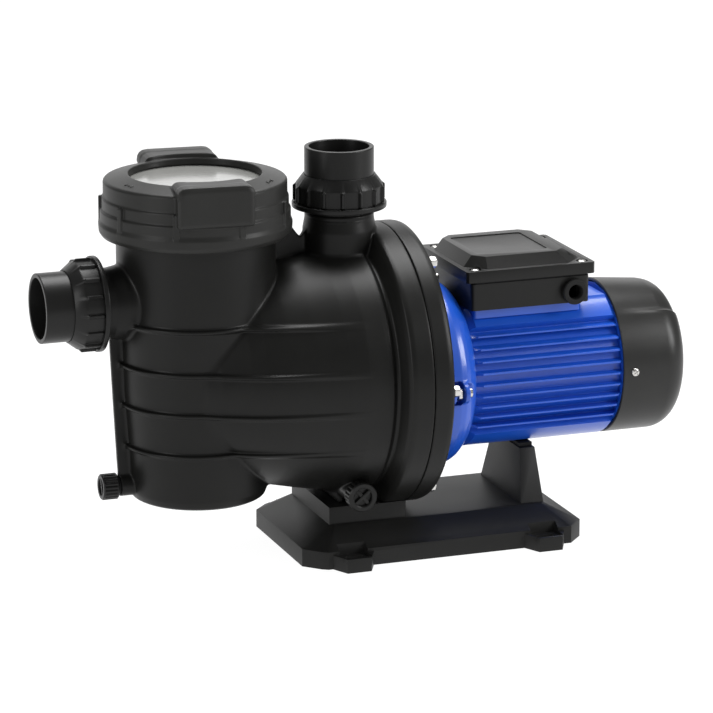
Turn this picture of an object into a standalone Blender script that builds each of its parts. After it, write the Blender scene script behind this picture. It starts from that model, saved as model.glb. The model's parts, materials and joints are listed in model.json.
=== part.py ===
"""Self-priming pool pump: strainer pot and volute, threaded unions, clear strainer lid, finned motor, base.

Run with: blender --background --python part.py

Frame: metres, +Z up. The origin is on the underside of the base, under the outlet axis.
+X points from the strainer pot to the motor's fan, and the inlet faces -X.
Every sub-part is one closed object in the collection "pool_pump".
"""
import math

import bmesh
import bpy
from mathutils import Matrix

# ---------------------------------------------------------------- driving dimensions (metres)
GAP = 0.0003                 # clearance between pieces that touch

# casing
CASING_Z = 0.1534            # axis of the volute chamber and its flange
CASING_R = 0.1190            # outside of the casing flange
CHAMBER_R = 0.0980           # inside of the volute chamber
FLANGE_REAR_X = 0.0405       # rear face of the casing flange
POT_X = -0.1255              # axis of the strainer pot
POT_BOTTOM_Z = 0.0545
POT_BORE_R = 0.0605
LEDGE_Z = 0.2670             # ledge that the basket hangs on
COLLAR_R = 0.0680            # threaded collar under the lid ring
COLLAR_TOP_Z = 0.3139
RIB_HEIGHTS = (0.2095, 0.1725, 0.1380, 0.1025)
RIB_THICKNESS = 0.0036
RIB_DEPTH = 0.0024
WALL = 0.0050
GASKET = 0.0008

# unions, measured from the spigot's rim inwards
OUTLET_TOP_Z = 0.3420
INLET_RIM_X = -0.2612
INLET_Z = 0.2250
PORT_R = 0.0290
PORT_BORE_R = 0.0252
STUB_START = 0.0389          # end of the threaded stub on the casing
NUT_RIBS = 15

# lid
LID_TOP_Z = 0.3291
LID_OPENING_R = 0.0548
LUG_TURN = math.radians(-5.1)

VANES = 5

# drains
POT_DRAIN_Z = 0.0680
VOLUTE_DRAIN_X = -0.0070
VOLUTE_DRAIN_Z = 0.0600
DRAIN_BORE_R = 0.0055

# motor
MOTOR_Z = 0.1420
MOTOR_R = 0.0668
HOUSING_X = (0.0985, 0.2318)
FIN_PITCH = 0.0098
FINS_PER_SIDE = 9
SHAFT_R = 0.0070
BOLT_CIRCLE_R = 0.0800
COVER_END_X = 0.2990

# terminal box
BOX_X = (0.0990, 0.2060)
BOX_Y = 0.0510
BOX_Z = (0.2035, 0.2262)
BOX_LID_X = (0.0935, 0.2095)
BOX_LID_Y = 0.0545
CABLE_ENTRY = (0.1910, 0.2137)

# base
BASE_X = (-0.0545, 0.1960)
BASE_Y = 0.0764
BASE_EDGE_Z = 0.0150
PLATEAU_Z = 0.0298
PLATEAU_X = (-0.0262, 0.1672)
PLATEAU_Y = 0.0510
SADDLE_Z = 0.0445
PILLAR_TOP_Z = 0.0742
TAB_X = (-0.0150, 0.1568)

# ---------------------------------------------------------------- finishes: colour, roughness, metallic
FINISHES = {
    "casing_black": ((0.014, 0.014, 0.013), 0.42, 0.0),
    "ring_black": ((0.018, 0.018, 0.017), 0.46, 0.0),
    "nut_black": ((0.012, 0.012, 0.012), 0.38, 0.0),
    "seal_rubber": ((0.020, 0.020, 0.020), 0.80, 0.0),
    "clear_window": ((0.560, 0.590, 0.600), 0.12, 0.0),
    "basket_white": ((0.700, 0.700, 0.670), 0.45, 0.0),
    "impeller_plastic": ((0.550, 0.540, 0.500), 0.45, 0.0),
    "carbon": ((0.030, 0.030, 0.032), 0.35, 0.2),
    "stainless": ((0.600, 0.600, 0.590), 0.25, 1.0),
    "motor_blue": ((0.010, 0.070, 0.620), 0.32, 0.0),
    "bearing_steel": ((0.560, 0.560, 0.570), 0.22, 1.0),
    "lamination": ((0.220, 0.225, 0.235), 0.45, 0.9),
    "copper_winding": ((0.500, 0.190, 0.070), 0.40, 0.8),
    "cover_black": ((0.012, 0.012, 0.012), 0.40, 0.0),
    "box_black": ((0.017, 0.017, 0.016), 0.45, 0.0),
    "brass_block": ((0.640, 0.600, 0.480), 0.50, 0.0),
    "capacitor_grey": ((0.420, 0.430, 0.440), 0.40, 0.0),
    "base_black": ((0.020, 0.020, 0.019), 0.50, 0.0),
}

# pieces where the exact solver leaves open slivers between nearly flush faces
SLIVER_PRONE = ("pump_body", "rib_volute", "pot_bore", "chamber", "seal_plate", "box", "plug")

# local +Z of a turned piece is laid along this world axis
TURNS = {
    "+Z": Matrix.Identity(4),
    "+X": Matrix.Rotation(math.radians(90), 4, "Y"),
    "-X": Matrix.Rotation(math.radians(-90), 4, "Y"),
    "-Y": Matrix.Rotation(math.radians(90), 4, "X"),
}


# ---------------------------------------------------------------- modelling helpers
def clear_scene():
    for obj in list(bpy.data.objects):
        bpy.data.objects.remove(obj, do_unlink=True)
    for group in list(bpy.data.collections):
        bpy.data.collections.remove(group)


def make_collection(name):
    group = bpy.data.collections.new(name)
    bpy.context.scene.collection.children.link(group)
    return group


def add_object(name, mesh, matrix=None):
    """A new object in the cutters collection; finish() moves the real sub-parts out of it."""
    obj = bpy.data.objects.new(name, mesh)
    CUTTERS.objects.link(obj)
    if matrix is not None:
        obj.matrix_world = matrix
    obj.hide_render = True
    obj.display_type = "WIRE"
    return obj


def placement(axis, at):
    return Matrix.Translation(at) @ TURNS[axis]


def turned(name, profile, at=(0, 0, 0), axis="+Z", steps=24):
    """A solid of revolution from (radius, height) points about the local Z axis."""
    points = list(profile)
    area = sum(a[0] * b[1] - b[0] * a[1] for a, b in zip(points, points[1:] + points[:1]))
    if area > 0:
        points.reverse()
    on_axis = [abs(r) < 1e-9 for r, h in points]
    while any(on_axis) and not (on_axis[0] and on_axis[-1]):
        points = points[1:] + points[:1]
        on_axis = on_axis[1:] + on_axis[:1]
    mesh = bpy.data.meshes.new(name)
    edges = [(i, i + 1) for i in range(len(points) - 1)]
    if not any(on_axis):
        edges.append((len(points) - 1, 0))
    mesh.from_pydata([(r, 0.0, h) for r, h in points], edges, [])
    obj = add_object(name, mesh, placement(axis, at))
    screw = obj.modifiers.new("turn", "SCREW")
    screw.axis = "Z"
    screw.steps = steps
    screw.render_steps = steps
    screw.use_merge_vertices = True
    screw.merge_threshold = 1e-6
    screw.use_smooth_shade = False
    return obj


def tube(name, outer, inner, low, high, at=(0, 0, 0), axis="+Z", steps=24):
    return turned(name, [(outer, high), (outer, low), (inner, low), (inner, high)], at, axis, steps)


def rod(name, radius, low, high, at=(0, 0, 0), axis="+Z", steps=16):
    return turned(name, [(0, high), (radius, high), (radius, low), (0, low)], at, axis, steps)


def box_mesh(name, boxes):
    """One mesh of separate boxes, each ((low x, y, z), (high x, y, z))."""
    bm = bmesh.new()
    for low, high in boxes:
        size = [b - a for a, b in zip(low, high)]
        centre = [(a + b) / 2 for a, b in zip(low, high)]
        matrix = Matrix.Translation(centre) @ Matrix.Diagonal((*size, 1.0))
        bmesh.ops.create_cube(bm, size=1.0, matrix=matrix)
    mesh = bpy.data.meshes.new(name)
    bm.to_mesh(mesh)
    bm.free()
    return mesh


def box(name, low, high):
    return add_object(name, box_mesh(name, [(low, high)]))


def ring_of_boxes(name, count, low, high, at, axis, start=0.0):
    """Boxes repeated about the local Z axis of a turned piece."""
    bm = bmesh.new()
    size = [b - a for a, b in zip(low, high)]
    centre = [(a + b) / 2 for a, b in zip(low, high)]
    block = Matrix.Translation(centre) @ Matrix.Diagonal((*size, 1.0))
    for i in range(count):
        spin = Matrix.Rotation(start + 2 * math.pi * i / count, 4, "Z")
        bmesh.ops.create_cube(bm, size=1.0, matrix=spin @ block)
    mesh = bpy.data.meshes.new(name)
    bm.to_mesh(mesh)
    bm.free()
    return add_object(name, mesh, placement(axis, at))


def plate(name, outlines, thickness, matrix=None):
    """Flat outlines (the first is outside, the rest are holes) with a thickness centred on Z = 0."""
    curve = bpy.data.curves.new(name, "CURVE")
    curve.dimensions = "2D"
    curve.fill_mode = "BOTH"
    curve.extrude = thickness / 2
    for outline in outlines:
        spline = curve.splines.new("POLY")
        spline.points.add(len(outline) - 1)
        for point, (x, y) in zip(spline.points, outline):
            point.co = (x, y, 0.0, 1.0)
        spline.use_cyclic_u = True
    guide = bpy.data.objects.new(name + "_curve", curve)
    CUTTERS.objects.link(guide)
    depsgraph = bpy.context.evaluated_depsgraph_get()
    mesh = bpy.data.meshes.new_from_object(guide.evaluated_get(depsgraph))
    bm = bmesh.new()
    bm.from_mesh(mesh)
    bmesh.ops.remove_doubles(bm, verts=bm.verts, dist=1e-6)
    bmesh.ops.recalc_face_normals(bm, faces=bm.faces)
    bm.to_mesh(mesh)
    bm.free()
    bpy.data.objects.remove(guide, do_unlink=True)
    bpy.data.curves.remove(curve)
    mesh.materials.clear()
    return add_object(name, mesh, matrix)


def frustum(name, bottom, top):
    """A loft between two flat polygons with the same number of corners, listed anticlockwise."""
    bm = bmesh.new()
    low = [bm.verts.new(p) for p in bottom]
    high = [bm.verts.new(p) for p in top]
    bm.faces.new(low[::-1])
    bm.faces.new(high)
    for i in range(len(low)):
        j = (i + 1) % len(low)
        bm.faces.new((low[i], low[j], high[j], high[i]))
    mesh = bpy.data.meshes.new(name)
    bm.to_mesh(mesh)
    bm.free()
    return add_object(name, mesh)


def rods_at(name, positions, low, high, radius, segments):
    """One mesh of rods along X between low and high, at each (y, z)."""
    bm = bmesh.new()
    for y, z in positions:
        place = Matrix.Translation(((low + high) / 2, y, z)) @ TURNS["+X"]
        bmesh.ops.create_cone(bm, cap_ends=True, segments=segments, radius1=radius, radius2=radius,
                              depth=high - low, matrix=place)
    mesh = bpy.data.meshes.new(name)
    bm.to_mesh(mesh)
    bm.free()
    return add_object(name, mesh)


def combine(obj, tool, operation):
    boolean = obj.modifiers.new(tool.name, "BOOLEAN")
    boolean.operation = operation
    boolean.solver = "MANIFOLD" if obj.name in SLIVER_PRONE else "EXACT"
    boolean.object = tool
    return obj


def join(obj, *tools):
    for tool in tools:
        combine(obj, tool, "UNION")
    return obj


def cut(obj, *tools):
    for tool in tools:
        combine(obj, tool, "DIFFERENCE")
    return obj


def common(obj, tool):
    return combine(obj, tool, "INTERSECT")


def finish(obj, name, finish_name):
    """Turns a modelled object into a named sub-part with its own material."""
    obj.name = name
    obj.data.name = name
    colour, roughness, metallic = FINISHES[finish_name]
    material = bpy.data.materials.new(name + "_" + finish_name)
    material.use_nodes = True
    shader = material.node_tree.nodes["Principled BSDF"]
    shader.inputs["Base Color"].default_value = (*colour, 1.0)
    shader.inputs["Roughness"].default_value = roughness
    shader.inputs["Metallic"].default_value = metallic
    material.diffuse_color = (*colour, 1.0)
    obj.data.materials.append(material)
    CUTTERS.objects.unlink(obj)
    PARTS.objects.link(obj)
    obj.hide_render = False
    obj.display_type = "TEXTURED"
    return obj


def arc(centre, radius, start, end, count):
    """Points on an arc, angles in degrees."""
    angles = [math.radians(start + (end - start) * i / (count - 1)) for i in range(count)]
    return [(centre[0] + radius * math.cos(a), centre[1] + radius * math.sin(a)) for a in angles]


def circle(radius, count=24, centre=(0, 0)):
    return arc(centre, radius, 0, 360 - 360 / count, count)


# ---------------------------------------------------------------- casing
def bulb_profile():
    """(radius, x) of the volute's outside, from the hidden end in the pot towards the flange."""
    return [(0.0580, -0.1450), (0.0655, -0.1370), (0.0775, -0.1150), (0.0880, -0.0900),
            (0.0965, -0.0570), (0.1025, -0.0260), (0.1050, -0.0040)]


def pot_profile():
    return [(0.0585, 0.0750), (0.0640, 0.1500), (0.0658, 0.2200), (0.0658, 0.2770)]


def casing_ribs():
    """Four level ribs: slices of a slightly larger pot and volute that fade out towards the flange."""
    volute = [(r + RIB_DEPTH * min(1.0, (-0.008 - x) / 0.05), x) for r, x in bulb_profile()[:-1]]
    profile = [(0, -0.145)] + volute + [(0.1045, -0.0060), (0, -0.0060)]
    ribs = turned("rib_volute", profile, (0, 0, CASING_Z), "+X", 22)
    pot = [(0, 0.2770)] + [(r + RIB_DEPTH, z) for r, z in pot_profile()[::-1]] + [(0, 0.0750)]
    join(ribs, turned("rib_pot", pot, (POT_X, 0, 0), steps=20))
    half = RIB_THICKNESS / 2
    slices = [((-0.21, -0.12, z - half), (0.0, 0.12, z + half)) for z in RIB_HEIGHTS]
    return common(ribs, add_object("rib_slices", box_mesh("rib_slices", slices)))


def union_stub(name, rim, axis, length):
    """Threaded stub and neck on the casing; heights run inwards from the spigot's rim at zero."""
    profile = [(0, -STUB_START), (0.0340, -STUB_START), (0.0340, -0.0505), (0.0290, -0.0512),
               (0.0290, -0.0600), (0.0307, -0.0690), (0.0307, -length), (0, -length)]
    return turned(name, profile, rim, axis, 20)


def suction_passage():
    """Inside of the volute: the priming chamber around the suction tube that feeds the impeller."""
    chamber = [(0, -0.0480), (0.0780, -0.0480), (0.0960, -0.0150), (CHAMBER_R, 0.0050),
               (CHAMBER_R, FLANGE_REAR_X + 0.002), (0, FLANGE_REAR_X + 0.002)]
    inside = turned("chamber", chamber, (0, 0, CASING_Z), "+X", 20)
    return cut(inside, rod("suction_tube", 0.0280, -0.0600, -0.0140, (0, 0, MOTOR_Z), "+X", 16))


def pump_body():
    flange = [(0.1050, 0.0110), (0.1032, 0.0150), (0.1145, 0.0200), (CASING_R, 0.0245),
              (CASING_R, FLANGE_REAR_X)]
    volute = [(0, -0.1450)] + bulb_profile() + flange + [(0, FLANGE_REAR_X)]
    body = turned("pump_body", volute, (0, 0, CASING_Z), "+X", 28)
    pot = [(0, COLLAR_TOP_Z), (COLLAR_R, COLLAR_TOP_Z), (COLLAR_R, 0.2790)] + pot_profile()[::-1]
    pot += [(0.0580, 0.0590), (0.0540, POT_BOTTOM_Z), (0, POT_BOTTOM_Z)]
    join(body, turned("pot", pot, (POT_X, 0, 0), steps=24))
    join(body, casing_ribs())
    join(body, union_stub("outlet_stub", (0, 0, OUTLET_TOP_Z), "+Z", 0.0960))
    join(body, union_stub("inlet_stub", (INLET_RIM_X, 0, INLET_Z), "-X", 0.0800))

    upright = Matrix.Rotation(math.radians(90), 4, "X")
    gusset = [(-0.1800, 0.0760), (-0.1930, 0.0800), (-0.1959, 0.0901), (-0.1985, 0.1419),
              (-0.2004, 0.1831), (-0.2010, 0.2050), (-0.1800, 0.2050)]
    join(body, plate("inlet_gusset", [gusset], WALL, upright))
    web = [(-0.0640, 0.2350), (-0.0200, 0.2450), (-0.0240, 0.2740), (-0.0319, 0.2710), (-0.0350, 0.2678),
           (-0.0380, 0.2710), (-0.0420, 0.2765), (-0.0640, 0.2765)]
    join(body, plate("neck_web", [web], WALL, upright))
    join(body, rod("pot_drain_boss", 0.0090, 0.1780, 0.1945, (0, 0, POT_DRAIN_Z), "-X", 12))
    join(body, rod("volute_drain_boss", 0.0100, 0.0350, 0.0640, (VOLUTE_DRAIN_X, 0, VOLUTE_DRAIN_Z), "-Y", 12))
    foot_z = (SADDLE_Z + GAP, 0.0600)
    feet = [((-0.0145, -0.0380, foot_z[0]), (-0.0105, 0.0380, foot_z[1])),
            ((0.0005, -0.0380, foot_z[0]), (0.0045, 0.0380, foot_z[1]))]
    for index, (low, high) in enumerate(feet):
        join(body, box("foot_rib_%d" % index, low, high))
    for side in (-1, 1):
        join(body, rod("foot_boss_%d" % side, 0.0062, *foot_z, at=(-0.0050, side * 0.0260, 0), steps=8))

    pot_bore = [(0, 0.3200), (0.0620, 0.3200), (0.0620, LEDGE_Z), (POT_BORE_R - 0.0020, LEDGE_Z),
                (POT_BORE_R - 0.0020, 0.2200), (0.0530, 0.0650), (0.0500, 0.0595), (0, 0.0595)]
    inside = turned("pot_bore", pot_bore, (POT_X, 0, 0), steps=22)
    join(inside, suction_passage())
    join(inside, rod("suction_bore", 0.0240, -0.0720, 0.0, (0, 0, MOTOR_Z), "+X", 16))
    join(inside, rod("outlet_bore", 0.0240, 0.2350, 0.3100, steps=16))
    join(inside, rod("inlet_bore", 0.0240, 0.1720, 0.2300, (0, 0, INLET_Z), "-X", 16))
    join(inside, rod("pot_drain_bore", DRAIN_BORE_R, 0.1700, 0.2000, (0, 0, POT_DRAIN_Z), "-X", 8))
    join(inside, rod("volute_drain_bore", DRAIN_BORE_R, 0.0200, 0.0700,
                     (VOLUTE_DRAIN_X, 0, VOLUTE_DRAIN_Z), "-Y", 8))
    cut(body, inside)
    for side in (-1, 1):
        cut(body, rod("foot_hole_%d" % side, 0.0024, 0.0400, 0.0565, (-0.0050, side * 0.0260, 0), steps=6))
    cut(body, rods_at("body_threads", casing_bolt_positions(), 0.0280, FLANGE_REAR_X + 0.001, 0.0026, 6))
    finish(body, "pump_body", "casing_black")


def casing_bolt_positions():
    """Six bolts round the flange, as (y, z)."""
    angles = [math.radians(60 * i) for i in range(6)]
    return [(0.1115 * math.cos(a), CASING_Z + 0.1115 * math.sin(a)) for a in angles]


def hex_bolt(name, at, axis, head_r, head_h, shank_r, shank_length):
    """Bolt whose washer face is at `at`; the head stands along `axis`, the shank runs the other way."""
    bolt = rod(name, head_r, 0, head_h, at, axis, 6)
    join(bolt, rod(name + "_shank", shank_r, -shank_length, head_h / 2, at, axis, 6))
    return bolt


def casing_bolts():
    for index, (y, z) in enumerate(casing_bolt_positions()):
        bolt = hex_bolt("bolt", (0.0595, y, z), "+X", 0.0050, 0.0060, 0.0022, 0.0290)
        finish(bolt, "casing_bolt_%d" % (index + 1), "stainless")


# ---------------------------------------------------------------- unions and drains
def pipe_union(prefix, rim, axis):
    tail = [(PORT_BORE_R, 0.0), (PORT_R, 0.0), (PORT_R, -0.0313), (0.0336, -0.0313),
            (0.0336, -0.0353), (0.0240, -0.0353), (0.0240, -0.0290), (PORT_BORE_R, -0.0290)]
    finish(turned("tail", tail, rim, axis, 24), prefix + "_tail", "nut_black")
    finish(tube("seal", 0.0330, 0.0262, -0.0386, -0.0356, rim, axis, 16), prefix + "_seal", "seal_rubber")
    nut = [(0.0294, -0.0234), (0.0364, -0.0316), (0.0364, -0.0465), (0.0398, -0.0465), (0.0398, -0.0509),
           (0.0344, -0.0509), (0.0344, -0.0310), (0.0294, -0.0310)]
    body = turned("nut", nut, rim, axis, 24)
    low = (0.0355, -0.0015, -0.0470)
    high = (0.0380, 0.0015, -0.0330)
    join(body, ring_of_boxes(prefix + "_nut_ribs", NUT_RIBS, low, high, rim, axis, 0.0))
    finish(body, prefix + "_nut", "nut_black")


def drain_plug(prefix, at, axis, boss_end, cap_r, cap_length, slot_turn):
    """Screwed plug with a knurled cap; distances run along the axis from `at`."""
    face = boss_end + 0.0024
    seal = tube("seal", 0.0082, 0.0058, boss_end + GAP, face - GAP, at, axis, 12)
    finish(seal, prefix + "_drain_seal", "seal_rubber")
    end = face + cap_length
    profile = [(0, end), (cap_r - 0.0012, end), (cap_r, end - 0.0012), (cap_r, face), (0.0050, face),
               (0.0050, face - 0.0160), (0, face - 0.0160)]
    plug = turned("plug", profile, at, axis, 20)
    recess = rod(prefix + "_plug_recess", cap_r * 0.62, end - 0.0030, end + 0.001, at, axis, 12)
    bar = ring_of_boxes(prefix + "_plug_bar", 1, (-cap_r * 0.7, -0.0013, end - 0.0040),
                        (cap_r * 0.7, 0.0013, end - 0.0005), at, axis, slot_turn)
    cut(plug, recess)
    join(plug, bar)
    finish(plug, prefix + "_drain_plug", "nut_black")


# ---------------------------------------------------------------- strainer lid and basket
def lid_ring():
    profile = [(LID_OPENING_R, LID_TOP_Z), (0.0740, 0.3246), (0.0757, 0.3230), (0.0758, 0.3106),
               (0.0769, 0.3098), (0.0770, 0.3006), (0.0785, 0.2996), (0.0800, 0.2880), (0.0772, 0.2780),
               (0.0684, 0.2780), (0.0684, 0.3231), (LID_OPENING_R, 0.3231)]
    at = (POT_X, 0, 0)
    ring = turned("lid_ring", profile, at, steps=24)
    join(ring, ring_of_boxes("lid_ribs", 10, (0.0750, -0.0026, 0.2850), (0.0786, 0.0026, 0.3060), at, "+Z",
                             math.radians(10)))
    corner = 0.0070
    half = 0.0318
    top = 0.0325
    outline = [(-half, 0.0)] + arc((-half + corner, top - corner), corner, 180, 90, 3)
    outline += arc((half - corner, top - corner), corner, 90, 0, 3) + [(half, 0.0)]
    turn = Matrix.Translation(at) @ Matrix.Rotation(LUG_TURN, 4, "Z")
    for side in (-1, 1):
        stand = Matrix.Translation((0, side * 0.0745, 0.3005)) @ Matrix.Rotation(math.radians(90), 4, "X")
        lug = plate("lid_lug_%d" % side, [outline], 0.0150, turn @ stand)
        cut(lug, rod("lug_clear_%d" % side, 0.0700, 0.2900, 0.3240, at, steps=24))
        join(ring, lug)
    finish(ring, "lid_ring", "ring_black")

    window = [(0, 0.3225), (0.0662, 0.3225), (0.0662, 0.3172), (0.0596, 0.3172),
              (0.0592, 0.3090), (0.0568, 0.3090), (0.0566, 0.3165), (0, 0.3165)]
    finish(turned("window", window, at, steps=24), "lid_window", "clear_window")
    finish(tube("gasket", 0.0662, 0.0622, COLLAR_TOP_Z + GAP, 0.3169, at, "+Z", 20), "lid_gasket", "seal_rubber")


def strainer_basket():
    """Hanging basket: rim on the pot's ledge, perforated wall with an inlet window, and a carrying bar."""
    at = (POT_X, 0, 0)
    floor_z = 0.0900
    shell = [(0.0610, 0.2705), (0.0610, LEDGE_Z + GAP), (0.0565, LEDGE_Z + GAP), (0.0500, floor_z),
             (0, floor_z), (0, floor_z + 0.0022), (0.0478, floor_z + 0.0022), (0.0543, 0.2705)]
    basket = turned("strainer_basket", shell, at, steps=20)
    cut(basket, rod("basket_inlet", 0.0270, 0.1700, 0.1900, (0, 0, INLET_Z), "-X", 12))
    cut(basket, ring_of_boxes("basket_slots", 10, (0.0400, -0.0040, 0.0935), (0.0620, 0.0040, 0.1800),
                              at, "+Z", math.radians(18)))
    outline = [(-0.0560, 0.2670), (-0.0560, 0.2990)] + [(0.0560, 0.2990), (0.0560, 0.2670), (0.0530, 0.2670)]
    outline += [(0.0510, 0.2955), (-0.0510, 0.2955), (-0.0530, 0.2670)]
    bar = plate("basket_bar", [outline], 0.0080,
                Matrix.Translation(at) @ Matrix.Rotation(math.radians(90), 4, "X"))
    join(basket, bar)
    finish(basket, "strainer_basket", "basket_white")


# ---------------------------------------------------------------- hydraulics behind the chamber
def seal_plate():
    """Rear bracket: closes the chamber, carries the stationary seal and takes the motor's bell."""
    front = FLANGE_REAR_X + 2 * GAP + GASKET
    rim = [(0, front), (CASING_R, front), (CASING_R, 0.0550), (0.1160, 0.0592), (0.0960, 0.0592),
           (0.0960, 0.0480), (0, 0.0480)]
    bracket = turned("seal_plate", rim, (0, 0, CASING_Z), "+X", 28)
    join(bracket, rod("bracket_hub", 0.0280, 0.0330, 0.0590, (0, 0, MOTOR_Z), "+X", 16))
    join(bracket, rods_at("bracket_bosses", flange_bolt_positions(), 0.0450, 0.0590, 0.0078, 8))
    cut(bracket, rod("bracket_bore", 0.0105, 0.0300, 0.0650, (0, 0, MOTOR_Z), "+X", 12))
    cut(bracket, rod("seat_pocket", 0.0180, 0.0300, 0.0420, (0, 0, MOTOR_Z), "+X", 12))
    cut(bracket, rods_at("bracket_holes", casing_bolt_positions(), 0.0380, 0.0620, 0.0026, 6))
    cut(bracket, rods_at("bracket_threads", flange_bolt_positions(), 0.0500, 0.0620, 0.0030, 6))
    finish(bracket, "seal_plate", "casing_black")
    gasket = tube("gasket", 0.1060, 0.1010, FLANGE_REAR_X + GAP, front - GAP, (0, 0, CASING_Z), "+X", 24)
    finish(gasket, "casing_gasket", "seal_rubber")


def diffuser():
    at = (0, 0, MOTOR_Z)
    profile = [(0.0286, -0.0240), (0.0286, -0.0130), (0.0240, -0.0130), (0.0240, -0.0090), (0.0620, -0.0090),
               (0.0620, 0.0320), (0.0650, 0.0320), (0.0650, -0.0120), (0.0312, -0.0130), (0.0312, -0.0240)]
    bowl = turned("diffuser", profile, at, "+X", 20)
    ports = ring_of_boxes("diffuser_ports", 4, (0.0560, -0.0085, 0.0040), (0.0700, 0.0085, 0.0240), at, "+X",
                          math.radians(22))
    finish(cut(bowl, ports), "diffuser", "impeller_plastic")


def vane_outline(turn):
    """One backward-curved vane seen along the axis, as a strip of constant thickness."""
    points = []
    for i in range(4):
        share = i / 3
        points.append((0.0150 + 0.0420 * share, turn + 1.15 * share))
    inner = [(r * math.cos(a), r * math.sin(a)) for r, a in points]
    outer = [(r * math.cos(a + 0.0022 / r), r * math.sin(a + 0.0022 / r)) for r, a in points]
    return inner + outer[::-1]


def impeller():
    at = (0, 0, MOTOR_Z)
    back = [(0, 0.0180), (0.0580, 0.0180), (0.0580, 0.0155), (0.0180, 0.0150), (0.0130, 0.0080),
            (0.0120, -0.0010), (0, -0.0010)]
    wheel = turned("impeller", back, at, "+X", 20)
    join(wheel, turned("impeller_shroud", [(0.0580, 0.0055), (0.0580, 0.0030), (0.0290, -0.0005),
                                           (0.0225, -0.0060), (0.0200, -0.0060), (0.0200, -0.0015),
                                           (0.0260, 0.0030)], at, "+X", 20))
    for index in range(VANES):
        vane = plate("vane_%d" % index, [vane_outline(index * 2 * math.pi / VANES)], 0.0140,
                     placement("+X", (0.0095, 0, MOTOR_Z)))
        join(wheel, vane)
    cut(wheel, rod("impeller_bore", SHAFT_R + 2 * GAP, 0.0020, 0.0300, at, "+X", 12))
    cut(wheel, rod("impeller_screw_hole", 0.0030, -0.0100, 0.0100, at, "+X", 8))
    finish(wheel, "impeller", "impeller_plastic")
    screw = hex_bolt("impeller_screw", (-0.0013, 0, MOTOR_Z), "-X", 0.0055, 0.0038, 0.0024, 0.0160)
    finish(screw, "impeller_screw", "stainless")


def shaft_seal():
    at = (0, 0, MOTOR_Z)
    head = [(0.0150, 0.0310), (0.0150, 0.0240), (0.0110, 0.0200), (0.0110, 0.0183), (0.0073, 0.0183),
            (0.0073, 0.0310)]
    finish(turned("seal_head", head, at, "+X", 12), "seal_head", "carbon")
    finish(tube("seal_seat", 0.0170, 0.0080, 0.0313, 0.0417, at, "+X", 12), "seal_seat", "carbon")


# ---------------------------------------------------------------- motor
def flange_bolt_positions():
    """Four bolts on the motor's bell, as (y, z)."""
    angles = [math.radians(90 * i) for i in range(4)]
    return [(-BOLT_CIRCLE_R * math.cos(a), MOTOR_Z + BOLT_CIRCLE_R * math.sin(a)) for a in angles]


def front_bell():
    at = (0, 0, MOTOR_Z)
    profile = [(0.0800, 0.0596), (0.0800, 0.0800), (0.0775, 0.0880), (0.0655, 0.0982), (0.0600, 0.0982),
               (0.0580, 0.0745), (0.0200, 0.0745), (0.0200, 0.0870), (0.0162, 0.0870), (0.0162, 0.0745),
               (0.0120, 0.0745), (0.0120, 0.0700), (0.0660, 0.0690), (0.0660, 0.0596)]
    bell = turned("front_bell", profile, at, "+X", 24)
    bolts = flange_bolt_positions()
    join(bell, rods_at("bell_ears", bolts, 0.0602, 0.0846, 0.0088, 10))
    cut(bell, ring_of_boxes("bell_pockets", 4, (0.0725, -0.0095, 0.0720), (0.1000, 0.0095, 0.0799), at, "+X"))
    cut(bell, rods_at("bell_spots", bolts, 0.0840, 0.1000, 0.0076, 6))
    cut(bell, rods_at("bell_holes", bolts, 0.0500, 0.0900, 0.0030, 6))
    finish(bell, "front_bell", "motor_blue")
    for index, (y, z) in enumerate(flange_bolt_positions()):
        bolt = hex_bolt("bolt", (0.0754, y, z), "+X", 0.0058, 0.0040, 0.0026, 0.0240)
        join(bolt, rod("bolt_through_%d" % index, 0.0026, 0.0700, 0.0860, (0, y, z), "+X", 6))
        join(bolt, rod("bolt_nut_%d" % index, 0.0042, 0.0843, 0.0884, (0, y, z), "+X", 8))
        finish(bolt, "flange_bolt_%d" % (index + 1), "stainless")


def housing_outline():
    """Cross-section in (y, z - axis): straight level fins on both sides, smooth cap above and below."""
    core = 0.0590
    fin_half = 0.0011
    side = []
    reach = (FINS_PER_SIDE - 1) / 2
    for i in range(FINS_PER_SIDE):
        z = (i - reach) * FIN_PITCH
        tip = math.sqrt(0.0663 ** 2 - z ** 2)
        for edge in (-fin_half, fin_half):
            root = math.sqrt(core ** 2 - (z + edge) ** 2)
            pair = [(root, z + edge * 1.6), (tip, z + edge)]
            side += pair if edge < 0 else pair[::-1]
    end = math.degrees(math.asin(0.0463 / MOTOR_R))
    flat = 0.0185
    low = [(flat, -0.0642)] + arc((0, 0), MOTOR_R, -68, -end, 3)
    high = arc((0, 0), MOTOR_R, end, 62, 3) + [(0.0300, 0.0608), (0.0300, 0.0609)]
    right = low + side + high[:-1]
    left = [(-y, z) for y, z in right[::-1]]
    return right + left


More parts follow.
